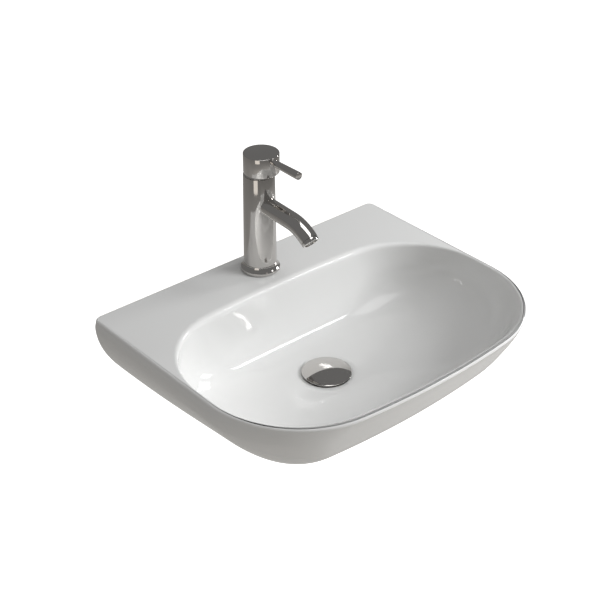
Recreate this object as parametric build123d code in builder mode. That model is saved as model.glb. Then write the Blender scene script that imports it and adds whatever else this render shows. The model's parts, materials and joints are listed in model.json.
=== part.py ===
from build123d import *
import os
from math import cos, radians, sin, sqrt, tan

os.makedirs("parts", exist_ok=True)

# Wall-hung ceramic basin with a single-lever mixer tap and a push-open waste.
# Origin: middle of the two wall bolts, on the wall face. +Z is up and -Y points into the room.
# All lengths are millimetres and all angles are degrees.

# Basin, outside
rim = 70.0
basin_width = 500.0
basin_projection = 396.0
basin_height = 126.0
rim_edge = 4.0
rim_round = 3.4
back_corner_radius = 8.0
front_corner_radius = 142.0
front_bow = 6.4
side_bulge = 1.5
side_bulge_depth = 12.0
side_draw = 69.0
side_curve = 1.85
front_lean = 68.0
lean_curve = 0.9
front_tuck = 61.0
tuck_curve = 7.7
foot_corner_radius = 44.0
foot_toe_in = 14.8
toe_start = 0.19
toe_curve = 1.14

# Basin, bowl
bowl_depth = 105.0
rim_width = 7.5
front_rim_width = 5.5
deck_length = 91.0
bowl_back_radius = 122.0
bowl_front_radius = 134.0
bowl_back_bow = 3.8
bowl_floor_radius = 45.0
bowl_floor_corner = 40.0
bowl_side_curve = 2.4
bowl_back_curve = 4.0
bowl_front_curve = 8.0
bowl_lean = 0.38
bowl_lean_curve = 0.75
bowl_corner_curve = 1.5
bowl_edge_round = 3.0
ceramic = 12.0
deck_thickness = 14.0
back_wall = 14.0
underside_rim = 20.0

# Wall bolts
bolt_spacing = 280.0
bolt_radius = 5.0
bolt_screw_radius = 4.8
bolt_in_wall = 65.0
bolt_shoulder = 2.0
bolt_stand_out = 42.0
bolt_hole_radius = 9.0
bush_flange_radius = 12.0
bush_flange = 3.0
bolt_washer_radius = 12.5
bolt_washer = 2.5
bolt_nut_flats = 17.0
bolt_nut = 8.0
bolt_tip_chamfer = 2.5
bolt_end_chamfer = 0.8

# Clearances
loose = 0.3
close = 0.1
running = 0.06

# Tap body, heights above the deck
tap_setback = 41.4
tap_hole_radius = 17.5
gasket_thickness = 1.2
gasket_radius = 25.5
foot_radius = 27.5
foot_band = 5.0
foot_height = 13.0
foot_flare = 14.0
foot_spigot_radius = 21.0
body_foot_radius = 23.2
body_top_radius = 21.5
body_top = 146.5
socket_radius = 17.8
socket_floor = 113.5
nut_seat = 136.0
nut_bore_radius = 18.4

# Spout
spout_radius = 12.5
spout_bore = 8.0
spout_root_height = 105.4
spout_bend_reach = 107.0
spout_bend_height = 102.6
spout_reach = 144.4
spout_tip_height = 88.4
aerator_length = 5.0
aerator_radius = 12.1
aerator_socket_radius = 10.9
aerator_socket_depth = 9.0
aerator_wall = 1.5
aerator_floor = 1.5
aerator_inset = 2.5
aerator_insert_length = 8.0
aerator_washer_thickness = 1.4
aerator_hole_radius = 1.0
aerator_rings = ((3.0, 6), (6.3, 12))

# Waterways, measured from the tap axis
inlet_x = 8.0
inlet_y = -4.0
inlet_thread_radius = 5.0
inlet_thread_depth = 14.0
inlet_bore = 2.4
outlet_y = 3.5
outlet_bore = 3.0
outlet_turn_height = 103.0
crossing_bore = 4.2
crossing_length = 19.0
stud_y = 12.0

# Tap fixing under the deck
stud_radius = 4.0
stud_length = 76.0
stud_in_body = 14.0
stud_chamfer = 0.8
clamp_radius = 24.0
clamp_rubber_thickness = 3.0
clamp_plate_thickness = 2.5
clamp_cut_radius = 17.5
clamp_cut_y = -12.5
clamp_nut_flats = 13.0
clamp_nut_length = 14.0

# Cartridge, heights above the deck
pivot_height = 138.0
cartridge_radius = 17.5
cartridge_bore = 14.5
cartridge_neck_radius = 11.0
cartridge_neck_top = 146.0
cartridge_roof = 3.0
port_plate_bottom = 114.0
port_plate = 4.0
seal_radius = 3.9
seal_recess = 1.0
fixed_disc_thickness = 3.0
moving_disc_thickness = 2.5
carrier_thickness = 5.7
carrier_radius = 11.6
carrier_floor = 0.6
carrier_side_play = 0.2
carrier_end_play = 0.4
pocket_length = 8.0
pocket_width = 19.0
pocket_depth = 1.4
disc_rest_offset = 2.35
rotor_plate = 3.4
rotor_collar_radius = 8.8
rotor_collar_top = 147.0
rotor_slot_length = 14.0
rotor_slot_forward = 1.5
rotor_slot_play = 0.25
pivot_pin_radius = 1.5
clamp_ring_top = 144.0
clamp_ring_slots = 4
clamp_ring_slot = 4.0
clamp_ring_slot_depth = 3.0

# Stem
stem_side = 8.0
stem_top = 168.0
stem_square_bottom = 133.5
stem_neck_radius = 2.0
stem_ball_radius = 3.2
stem_ball_flat = 1.2
stem_chamfer = 0.8
stem_arm = 11.5

# Shroud and handle
shroud_radius = 21.4
shroud_wall = 1.6
shroud_opening = 13.2
shroud_spigot = 2.2
cap_radius = 24.45
cap_bottom = 152.5
cap_height = 27.5
cap_offset = 5.5
cap_hollow_radius = 22.2
cap_relief_angle = 12.0
cap_relief_start = 3.0
cap_edge_round = 0.7
pin_height = 174.5
pin_root_radius = 4.6
pin_tip_radius = 5.4
pin_reach = 124.0
pin_shank_radius = 3.0
pin_shank_length = 11.0
pin_spotface = 0.9
pin_tip_round = 0.6
grub_radius = 2.5
grub_key_flats = 2.5
grub_key_depth = 2.5
grub_length = 10.0
grub_height = 164.5
index_radius = 3.1
index_depth = 3.2
index_round = 0.5

# Waste
waste_setback = 182.0
waste_hole_radius = 23.0
waste_recess_radius = 33.5
waste_recess_depth = 3.5
waste_flange_radius = 32.0
waste_flange = 3.0
waste_flange_chamfer = 0.8
waste_neck_radius = 22.6
waste_neck_depth = 6.5
waste_neck_run_out = 2.0
waste_tail_radius = 20.95
waste_bore_radius = 18.9
waste_tail_length = 79.0
waste_groove_top = 28.5
waste_groove_bottom = 31.0
waste_groove_radius = 20.0
throat_radius = 24.0
throat_depth = 5.8
top_washer = 1.4
top_washer_radius = 31.5
lower_washer = 4.0
lower_washer_radius = 29.0
slip_washer = 1.5
slip_washer_radius = 30.0
backnut_flats = 54.0
backnut = 9.0
hub_radius = 9.0
hub_height = 10.0
hub_depth = 22.0
spider_arm = 4.0
spider_height = 5.0

# Push-open mechanism and plug
click_radius = 6.0
click_length = 38.0
click_top_depth = 12.0
click_collar_radius = 7.8
click_collar = 2.0
click_floor = 2.0
plug_stem_radius = 4.0
plug_stem_length = 26.0
plug_stem_chamfer = 0.6
plug_radius = 34.5
plug_crown = 5.2
plug_edge = 1.5
plug_gap = 1.8
plug_rim_chamfer = 0.6
plug_under_recess = 0.8
plug_socket = 3.0
plug_disc_radius = 17.4
plug_disc = 4.9
plug_seal_height = 3.4
plug_seal_lift = 0.4
plug_seal_radius = 20.4
spring_wall = 1.2

# Planes and axes that the pieces share
rim_plane = Plane.XY.offset(rim)
tap_section = Plane((0, -tap_setback, rim), x_dir=(1, 0, 0), z_dir=(0, -1, 0))
tap_axis = Axis((0, -tap_setback, rim), (0, 0, 1))
floor_z = rim - bowl_depth
waste_section = Plane((0, -waste_setback, floor_z), x_dir=(1, 0, 0), z_dir=(0, -1, 0))
waste_axis = Axis((0, -waste_setback, floor_z), (0, 0, 1))
underfloor = -ceramic


def tap_plane(height):
    """Level plane at a height above the deck, with its origin on the tap's axis."""
    return Plane((0, -tap_setback, rim + height))


def waste_plane(height):
    """Level plane at a height above the bowl's floor, with its origin on the waste's axis."""
    return Plane((0, -waste_setback, floor_z + height))


def around(centre, radius, angle):
    """Point at an angle on a circle."""
    return (centre[0] + radius * cos(radians(angle)), centre[1] + radius * sin(radians(angle)))


def arc(centre, radius, start, end):
    """Arc between two angles on a circle."""
    return ThreePointArc(*(around(centre, radius, angle) for angle in (start, (start + end) / 2, end)))


def basin_outline(half_width, back, front, back_radius, front_radius, toe_in=0.0, back_bow=0.0):
    """Closed plan outline: bowed front, sides that toe in, and tangent corner arcs."""
    toe = tan(radians(toe_in / 2))
    bow = tan(radians(front_bow / 2))
    back_x = half_width - back_radius
    back_y = back - back_radius - back_x * tan(radians(back_bow / 2))
    run = back_y - front - front_radius
    front_x = (half_width - front_radius - run * toe) / (1 - toe * bow)
    front_y = front + front_radius + front_x * bow
    side_end = around((front_x, front_y), front_radius, -toe_in)
    front_end = around((front_x, front_y), front_radius, front_bow - 90)
    sweep_radius = front_end[0] / sin(radians(front_bow))
    with BuildLine() as outline:
        if back_bow:
            back_end = around((back_x, back_y), back_radius, 90 - back_bow)
            back_sweep = back_end[0] / sin(radians(back_bow))
            arc((0, back - back_sweep), back_sweep, 90, 90 - back_bow)
        else:
            Line((0, back), (back_x, back))
        arc((back_x, back_y), back_radius, 90 - back_bow, 0)
        if toe_in:
            side_radius = (back_y - side_end[1]) / sin(radians(toe_in))
            arc((half_width - side_radius, back_y), side_radius, 0, -toe_in)
        else:
            Line((half_width, back_y), side_end)
        arc((front_x, front_y), front_radius, -toe_in, front_bow - 90)
        arc((0, front + sweep_radius), sweep_radius, front_bow - 90, -90)
        mirror(about=Plane.YZ)
    make_face(outline.edges())


def shell_outline(depth, inset=0.0, back=0.0):
    """Outline of the basin's outside at a depth below the rim, drawn in by an inset."""
    fall = (depth - rim_edge) / (basin_height - rim_edge)
    below_bulge = max(0.0, (depth - side_bulge_depth) / (basin_height - side_bulge_depth))
    bulge = side_bulge if depth > rim_edge else 0.0
    half_width = basin_width / 2 + bulge - (side_draw + bulge) * below_bulge**side_curve
    front = basin_projection - front_lean * fall**lean_curve - front_tuck * fall**tuck_curve
    corner = front_corner_radius + (foot_corner_radius - front_corner_radius) * fall
    toe_in = foot_toe_in * max(0.0, (fall - toe_start) / (1 - toe_start)) ** toe_curve
    basin_outline(half_width - inset, -back, inset - front, back_corner_radius, corner - inset, toe_in)


def bowl_outline(fall, outset=0.0):
    """Outline of the bowl at a share of its depth, grown by an outset."""
    rim_half = basin_width / 2 - rim_width
    half_width = bowl_floor_radius + (rim_half - bowl_floor_radius) * sqrt(1 - fall**bowl_side_curve)
    floor_back = bowl_floor_radius - waste_setback
    back = floor_back - (floor_back + deck_length) * sqrt(1 - fall**bowl_back_curve)
    floor_front = -bowl_floor_radius - waste_setback
    rim_front = front_rim_width - basin_projection
    front_share = bowl_lean * fall**bowl_lean_curve + (1 - bowl_lean) * fall**bowl_front_curve
    front = rim_front + (floor_front - rim_front) * front_share
    corner_share = fall**bowl_corner_curve
    back_radius = bowl_back_radius + (bowl_floor_corner - bowl_back_radius) * corner_share
    front_radius = bowl_front_radius + (bowl_floor_corner - bowl_front_radius) * corner_share
    basin_outline(
        half_width + outset,
        back + outset,
        front - outset,
        back_radius + outset,
        front_radius + outset,
        back_bow=bowl_back_bow,
    )


# Ceramic basin
bowl_falls = (0.0, 0.15, 0.38, 0.63, 0.84, 0.95, 1.0)
shell_falls = (0.0, 0.16, 0.36, 0.56, 0.73, 0.87, 1.0)
shell_depths = [rim_edge + (basin_height - rim_edge) * fall for fall in shell_falls]

with BuildPart() as bowl_belly:
    for fall in bowl_falls:
        with BuildSketch(rim_plane.offset(-fall * (bowl_depth + ceramic))):
            bowl_outline(fall, ceramic)
    loft()

with BuildPart() as underside:
    for depth in (deck_thickness, *shell_depths[2:-1], basin_height + 1):
        with BuildSketch(rim_plane.offset(-depth)):
            shell_outline(depth, underside_rim, back_wall)
    loft()
    add(bowl_belly.part, mode=Mode.SUBTRACT)

with BuildPart() as basin:
    with BuildSketch(rim_plane):
        shell_outline(rim_edge)
    extrude(amount=-rim_edge)
    rim_face = basin.faces().sort_by(Axis.Z)[-1]
    fillet(rim_face.edges(), rim_round)
    for depth in shell_depths:
        with BuildSketch(rim_plane.offset(-depth)):
            shell_outline(depth)
    loft()
    for fall in bowl_falls:
        with BuildSketch(rim_plane.offset(-fall * bowl_depth)):
            bowl_outline(fall)
    loft(mode=Mode.SUBTRACT)
    bowl_edges = basin.faces().filter_by(Plane.XY).sort_by(Axis.Z)[-1].inner_wires()[0].edges()
    fillet(bowl_edges, bowl_edge_round)
    add(underside.part, mode=Mode.SUBTRACT)
    with BuildSketch(tap_plane(0)):
        Circle(tap_hole_radius)
    extrude(amount=-deck_thickness, mode=Mode.SUBTRACT)
    with BuildSketch(waste_plane(0)):
        Circle(waste_recess_radius)
    extrude(amount=-waste_recess_depth, mode=Mode.SUBTRACT)
    with BuildSketch(waste_plane(0)):
        Circle(waste_hole_radius)
    extrude(amount=-ceramic, mode=Mode.SUBTRACT)
    with BuildSketch(Plane.XZ):
        with GridLocations(bolt_spacing, 0, 2, 1):
            Circle(bolt_hole_radius)
    extrude(amount=back_wall, mode=Mode.SUBTRACT)
basin.part.label = "basin"
export_step(basin.part, "parts/basin.step")

# Wall fixings, one pair of each
bolt_places = GridLocations(bolt_spacing, 0, 2, 1)

with BuildPart() as wall_bolts:
    with BuildSketch(Plane.XZ.offset(-bolt_in_wall)):
        with bolt_places:
            Circle(bolt_screw_radius)
    extrude(amount=bolt_in_wall - bolt_shoulder)
    with BuildSketch(Plane.XZ.offset(-bolt_shoulder)):
        with bolt_places:
            Circle(bolt_radius)
    extrude(amount=bolt_shoulder + bolt_stand_out)
    chamfer(wall_bolts.edges().group_by(Axis.Y)[0], bolt_end_chamfer)
    chamfer(wall_bolts.edges().group_by(Axis.Y)[-1], bolt_tip_chamfer)
wall_bolts.part.label = "wall_bolts"
export_step(wall_bolts.part, "parts/wall_bolts.step")

with BuildPart() as wall_bolt_bushes:
    with BuildSketch(Plane.XZ):
        with bolt_places:
            Circle(bolt_hole_radius - close)
    extrude(amount=back_wall)
    with BuildSketch(Plane.XZ.offset(back_wall)):
        with bolt_places:
            Circle(bush_flange_radius)
    extrude(amount=bush_flange)
    with BuildSketch(Plane.XZ):
        with bolt_places:
            Circle(bolt_radius + close)
    extrude(amount=back_wall + bush_flange, mode=Mode.SUBTRACT)
wall_bolt_bushes.part.label = "wall_bolt_bushes"
export_step(wall_bolt_bushes.part, "parts/wall_bolt_bushes.step")

washer_face = back_wall + bush_flange
with BuildPart() as wall_bolt_washers:
    with BuildSketch(Plane.XZ.offset(washer_face)):
        with bolt_places:
            Circle(bolt_washer_radius)
            Circle(bolt_radius + loose, mode=Mode.SUBTRACT)
    extrude(amount=bolt_washer)
wall_bolt_washers.part.label = "wall_bolt_washers"
export_step(wall_bolt_washers.part, "parts/wall_bolt_washers.step")

with BuildPart() as wall_bolt_nuts:
    with BuildSketch(Plane.XZ.offset(washer_face + bolt_washer)):
        with bolt_places:
            RegularPolygon(bolt_nut_flats / 2, 6, major_radius=False)
            Circle(bolt_radius + close, mode=Mode.SUBTRACT)
    extrude(amount=bolt_nut)
wall_bolt_nuts.part.label = "wall_bolt_nuts"
export_step(wall_bolt_nuts.part, "parts/wall_bolt_nuts.step")

# Tap body: tapered column, swept spout, cartridge socket and waterways
spout_root = (-tap_setback, rim + spout_root_height)
spout_bend = (-spout_bend_reach, rim + spout_bend_height)
spout_tip = (-spout_reach, rim + spout_tip_height)
with BuildPart() as tap_body:
    with BuildSketch(tap_section):
        with BuildLine():
            Polyline(
                (0, gasket_thickness),
                (foot_spigot_radius, gasket_thickness),
                (foot_spigot_radius, foot_height),
                (body_foot_radius, foot_height),
                (body_top_radius, body_top),
                (0, body_top),
                close=True,
            )
        make_face()
    revolve(axis=tap_axis)
    with BuildLine(Plane.YZ) as spout_path:
        root = Line(spout_root, spout_bend)
        TangentArc(root @ 1, spout_tip, tangent=root % 1)
    with BuildSketch(Plane(origin=root @ 0, z_dir=root % 0)):
        Circle(spout_radius)
    sweep(path=spout_path.wires()[0])
    with BuildSketch(tap_plane(body_top)):
        Circle(nut_bore_radius)
    extrude(amount=nut_seat - body_top, mode=Mode.SUBTRACT)
    with BuildSketch(tap_plane(nut_seat)):
        Circle(socket_radius)
    extrude(amount=socket_floor - nut_seat, mode=Mode.SUBTRACT)
    with BuildSketch(tap_plane(socket_floor)):
        with GridLocations(2 * inlet_x, 0, 2, 1):
            with Locations((0, inlet_y)):
                Circle(inlet_bore)
    extrude(amount=-socket_floor, mode=Mode.SUBTRACT)
    with BuildSketch(tap_plane(gasket_thickness)):
        with GridLocations(2 * inlet_x, 0, 2, 1):
            with Locations((0, inlet_y)):
                Circle(inlet_thread_radius)
    extrude(amount=inlet_thread_depth, mode=Mode.SUBTRACT)
    with BuildSketch(tap_plane(gasket_thickness)):
        with Locations((0, stud_y)):
            Circle(stud_radius + close)
    extrude(amount=stud_in_body, mode=Mode.SUBTRACT)
    with BuildSketch(tap_plane(socket_floor)):
        with Locations((0, outlet_y)):
            Circle(outlet_bore)
    extrude(amount=outlet_turn_height - socket_floor, mode=Mode.SUBTRACT)
    with BuildSketch(Plane.XZ.offset(tap_setback - outlet_y - outlet_bore / 2)):
        with Locations((0, rim + outlet_turn_height)):
            Circle(crossing_bore)
    extrude(amount=crossing_length, mode=Mode.SUBTRACT)
    with BuildLine(Plane.YZ) as bore_path:
        bore_root = Line(root @ 0.2, root @ 1)
        TangentArc(bore_root @ 1, spout_tip, tangent=bore_root % 1)
    with BuildSketch(Plane(origin=bore_root @ 0, z_dir=bore_root % 0)):
        Circle(spout_bore)
    sweep(path=bore_path.wires()[0], mode=Mode.SUBTRACT)
    outlet_plane = Plane(origin=spout_path.wires()[0] @ 1, z_dir=spout_path.wires()[0] % 1)
    with BuildSketch(outlet_plane):
        Circle(aerator_socket_radius)
    extrude(amount=-aerator_socket_depth, mode=Mode.SUBTRACT)
tap_body.part.label = "tap_body"
export_step(tap_body.part, "parts/tap_body.step")

with BuildPart() as tap_base_ring:
    with BuildSketch(tap_section):
        with BuildLine():
            Polyline(
                (foot_spigot_radius + close, foot_height),
                (foot_spigot_radius + close, gasket_thickness),
                (foot_radius, gasket_thickness),
                (foot_radius, foot_band),
            )
            flare = RadiusArc((foot_radius, foot_band), (body_foot_radius, foot_height), foot_flare)
            Line(flare @ 1, (foot_spigot_radius + close, foot_height))
        make_face()
    revolve(axis=tap_axis)
tap_base_ring.part.label = "tap_base_ring"
export_step(tap_base_ring.part, "parts/tap_base_ring.step")

with BuildPart() as base_gasket:
    with BuildSketch(tap_plane(0)):
        Circle(gasket_radius)
        Circle(tap_hole_radius, mode=Mode.SUBTRACT)
    extrude(amount=gasket_thickness)
base_gasket.part.label = "base_gasket"
export_step(base_gasket.part, "parts/base_gasket.step")

# Tap fixing under the deck
stud_top = gasket_thickness + stud_in_body
with BuildPart() as tap_stud:
    with BuildSketch(tap_plane(stud_top)):
        with Locations((0, stud_y)):
            Circle(stud_radius)
    extrude(amount=-stud_length)
    chamfer(tap_stud.edges().group_by(Axis.Z)[0], stud_chamfer)
tap_stud.part.label = "tap_stud"
export_step(tap_stud.part, "parts/tap_stud.step")


def horseshoe():
    """Round clamp outline with a mouth for the two hoses and a hole for the stud."""
    Circle(clamp_radius)
    with Locations((0, clamp_cut_y)):
        Circle(clamp_cut_radius, mode=Mode.SUBTRACT)
    with Locations((0, clamp_cut_y - clamp_radius)):
        Rectangle(2 * clamp_cut_radius, 2 * clamp_radius, mode=Mode.SUBTRACT)
    with Locations((0, stud_y)):
        Circle(stud_radius + loose, mode=Mode.SUBTRACT)


with BuildPart() as clamp_rubber:
    with BuildSketch(tap_plane(-deck_thickness)):
        horseshoe()
    extrude(amount=-clamp_rubber_thickness)
clamp_rubber.part.label = "clamp_rubber"
export_step(clamp_rubber.part, "parts/clamp_rubber.step")

plate_top = -deck_thickness - clamp_rubber_thickness
with BuildPart() as clamp_plate:
    with BuildSketch(tap_plane(plate_top)):
        horseshoe()
    extrude(amount=-clamp_plate_thickness)
clamp_plate.part.label = "clamp_plate"
export_step(clamp_plate.part, "parts/clamp_plate.step")

with BuildPart() as clamp_nut:
    with BuildSketch(tap_plane(plate_top - clamp_plate_thickness)):
        with Locations((0, stud_y)):
            RegularPolygon(clamp_nut_flats / 2, 6, major_radius=False)
            Circle(stud_radius + close, mode=Mode.SUBTRACT)
    extrude(amount=-clamp_nut_length)
clamp_nut.part.label = "clamp_nut"
export_step(clamp_nut.part, "parts/clamp_nut.step")

# Ceramic-disc cartridge
with BuildPart() as cartridge_housing:
    with BuildSketch(tap_section):
        with BuildLine():
            Polyline(
                (cartridge_bore, socket_floor),
                (cartridge_radius, socket_floor),
                (cartridge_radius, nut_seat),
                (cartridge_neck_radius, nut_seat),
                (cartridge_neck_radius, cartridge_neck_top),
                (rotor_collar_radius + close, cartridge_neck_top),
                (rotor_collar_radius + close, nut_seat - cartridge_roof),
                (cartridge_bore, nut_seat - cartridge_roof),
                close=True,
            )
        make_face()
    revolve(axis=tap_axis)
cartridge_housing.part.label = "cartridge_housing"
export_step(cartridge_housing.part, "parts/cartridge_housing.step")


def ports(inlet_radius, outlet_radius):
    """Two inlet holes and one outlet hole, as they come through the cartridge."""
    with GridLocations(2 * inlet_x, 0, 2, 1):
        with Locations((0, inlet_y)):
            Circle(inlet_radius)
    with Locations((0, outlet_y)):
        Circle(outlet_radius)


with BuildPart() as cartridge_base:
    with BuildSketch(tap_plane(port_plate_bottom)):
        Circle(cartridge_bore - close)
    extrude(amount=port_plate)
    with BuildSketch(tap_plane(port_plate_bottom)):
        ports(inlet_bore, outlet_bore)
    extrude(amount=port_plate, mode=Mode.SUBTRACT)
    with BuildSketch(tap_plane(port_plate_bottom)):
        ports(seal_radius + close, seal_radius + close)
    extrude(amount=seal_recess, mode=Mode.SUBTRACT)
cartridge_base.part.label = "cartridge_base"
export_step(cartridge_base.part, "parts/cartridge_base.step")

with BuildPart() as cartridge_seals:
    with BuildSketch(tap_plane(socket_floor)):
        ports(seal_radius, seal_radius)
    extrude(amount=port_plate_bottom + seal_recess - socket_floor)
    with BuildSketch(tap_plane(socket_floor)):
        ports(inlet_bore, outlet_bore)
    extrude(amount=port_plate_bottom + seal_recess - socket_floor, mode=Mode.SUBTRACT)
cartridge_seals.part.label = "cartridge_seals"
export_step(cartridge_seals.part, "parts/cartridge_seals.step")

fixed_disc_bottom = port_plate_bottom + port_plate
with BuildPart() as fixed_disc:
    with BuildSketch(tap_plane(fixed_disc_bottom)):
        Circle(cartridge_bore - close)
    extrude(amount=fixed_disc_thickness)
    with BuildSketch(tap_plane(fixed_disc_bottom)):
        ports(inlet_bore, outlet_bore)
    extrude(amount=fixed_disc_thickness, mode=Mode.SUBTRACT)
fixed_disc.part.label = "fixed_disc"
export_step(fixed_disc.part, "parts/fixed_disc.step")

# The moving disc has a pocket that joins the inlets to the outlet when it slides forward
moving_disc_bottom = fixed_disc_bottom + fixed_disc_thickness
with BuildPart() as moving_disc:
    with BuildSketch(tap_plane(moving_disc_bottom)):
        with Locations((0, disc_rest_offset)):
            Circle(carrier_radius - close)
    extrude(amount=moving_disc_thickness)
    with BuildSketch(tap_plane(moving_disc_bottom)):
        with Locations((0, outlet_y)):
            SlotOverall(pocket_width, pocket_length)
    extrude(amount=pocket_depth, mode=Mode.SUBTRACT)
moving_disc.part.label = "moving_disc"
export_step(moving_disc.part, "parts/moving_disc.step")

carrier_bottom = moving_disc_bottom + moving_disc_thickness
ball_height = pivot_height - stem_arm
with BuildPart() as disc_carrier:
    with BuildSketch(tap_plane(carrier_bottom)):
        with Locations((0, disc_rest_offset)):
            Circle(carrier_radius)
    extrude(amount=carrier_thickness)
    with BuildSketch(tap_plane(carrier_bottom + carrier_thickness)):
        Rectangle(2 * (stem_ball_radius + carrier_side_play), 2 * (stem_ball_radius + carrier_end_play))
    extrude(amount=carrier_floor - carrier_thickness, mode=Mode.SUBTRACT)
disc_carrier.part.label = "disc_carrier"
export_step(disc_carrier.part, "parts/disc_carrier.step")

# Rotor: a plate under the roof of the housing and two cheeks that carry the stem
rotor_bottom = carrier_bottom + carrier_thickness + close
slot_half = stem_side / 2 + rotor_slot_play
with BuildPart() as cartridge_rotor:
    with BuildSketch(tap_plane(rotor_bottom)):
        Circle(cartridge_bore - loose)
    extrude(amount=rotor_plate)
    with BuildSketch(tap_plane(rotor_bottom)):
        Circle(rotor_collar_radius)
    extrude(amount=rotor_collar_top - rotor_bottom)
    with BuildSketch(tap_plane(rotor_bottom + rotor_plate)):
        Rectangle(2 * slot_half, 2 * rotor_collar_radius)
    extrude(amount=rotor_collar_top - rotor_bottom, mode=Mode.SUBTRACT)
    with BuildSketch(tap_plane(rotor_bottom)):
        with Locations((0, -rotor_slot_forward)):
            Rectangle(2 * slot_half, rotor_slot_length)
    extrude(amount=rotor_plate, mode=Mode.SUBTRACT)
    with BuildSketch(Plane.YZ.offset(-rotor_collar_radius)):
        with Locations((-tap_setback, rim + pivot_height)):
            Circle(pivot_pin_radius + running)
    extrude(amount=2 * rotor_collar_radius, mode=Mode.SUBTRACT)
cartridge_rotor.part.label = "cartridge_rotor"
export_step(cartridge_rotor.part, "parts/cartridge_rotor.step")

with BuildPart() as stem_pivot_pin:
    with BuildSketch(Plane.YZ.offset(-rotor_collar_radius + loose)):
        with Locations((-tap_setback, rim + pivot_height)):
            Circle(pivot_pin_radius)
    extrude(amount=2 * (rotor_collar_radius - loose))
stem_pivot_pin.part.label = "stem_pivot_pin"
export_step(stem_pivot_pin.part, "parts/stem_pivot_pin.step")

with BuildPart() as lever_stem:
    with BuildSketch(tap_plane(stem_square_bottom)):
        Rectangle(stem_side, stem_side)
    extrude(amount=stem_top - stem_square_bottom)
    chamfer(lever_stem.edges().group_by(Axis.Z)[-1], stem_chamfer)
    with BuildSketch(tap_plane(ball_height)):
        Circle(stem_neck_radius)
    extrude(amount=stem_square_bottom - ball_height)
    with Locations((0, -tap_setback, rim + ball_height)):
        Sphere(stem_ball_radius)
    with BuildSketch(tap_plane(ball_height - stem_ball_radius)):
        Circle(stem_ball_radius)
    extrude(amount=stem_ball_flat, mode=Mode.SUBTRACT)
    with BuildSketch(Plane.YZ.offset(-stem_side)):
        with Locations((-tap_setback, rim + pivot_height)):
            Circle(pivot_pin_radius + running)
    extrude(amount=2 * stem_side, mode=Mode.SUBTRACT)
lever_stem.part.label = "lever_stem"
export_step(lever_stem.part, "parts/lever_stem.step")

ring_middle = (nut_bore_radius + cartridge_neck_radius) / 2
with BuildPart() as cartridge_nut:
    with BuildSketch(tap_plane(nut_seat)):
        Circle(nut_bore_radius - close)
        Circle(cartridge_neck_radius + loose, mode=Mode.SUBTRACT)
    extrude(amount=clamp_ring_top - nut_seat)
    with BuildSketch(tap_plane(clamp_ring_top)):
        with PolarLocations(ring_middle, clamp_ring_slots):
            Rectangle(ring_middle, clamp_ring_slot)
    extrude(amount=-clamp_ring_slot_depth, mode=Mode.SUBTRACT)
cartridge_nut.part.label = "cartridge_nut"
export_step(cartridge_nut.part, "parts/cartridge_nut.step")

# Shroud: a dome that is round about the stem's pivot, so the handle tips over it evenly
shroud_base = body_top - pivot_height
shroud_inner = shroud_radius - shroud_wall
base_outer = sqrt(shroud_radius**2 - shroud_base**2)
base_inner = sqrt(shroud_inner**2 - shroud_base**2)
mouth_outer = sqrt(shroud_radius**2 - shroud_opening**2)
mouth_inner = sqrt(shroud_inner**2 - shroud_opening**2)
mid_outer = shroud_radius * cos(radians(45))
mid_inner = shroud_inner * cos(radians(45))
spigot_outer = nut_bore_radius - close
with BuildPart() as cartridge_shroud:
    with BuildSketch(tap_section):
        with BuildLine():
            ThreePointArc(
                (base_outer, body_top),
                (mid_outer, pivot_height + mid_outer),
                (shroud_opening, pivot_height + mouth_outer),
            )
            Line((shroud_opening, pivot_height + mouth_outer), (shroud_opening, pivot_height + mouth_inner))
            ThreePointArc(
                (shroud_opening, pivot_height + mouth_inner),
                (mid_inner, pivot_height + mid_inner),
                (base_inner, body_top),
            )
            Polyline(
                (base_inner, body_top),
                (spigot_outer - shroud_wall, body_top),
                (spigot_outer - shroud_wall, body_top - shroud_spigot),
                (spigot_outer, body_top - shroud_spigot),
                (spigot_outer, body_top),
                (base_outer, body_top),
            )
        make_face()
    revolve(axis=tap_axis)
cartridge_shroud.part.label = "cartridge_shroud"
export_step(cartridge_shroud.part, "parts/cartridge_shroud.step")

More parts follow.
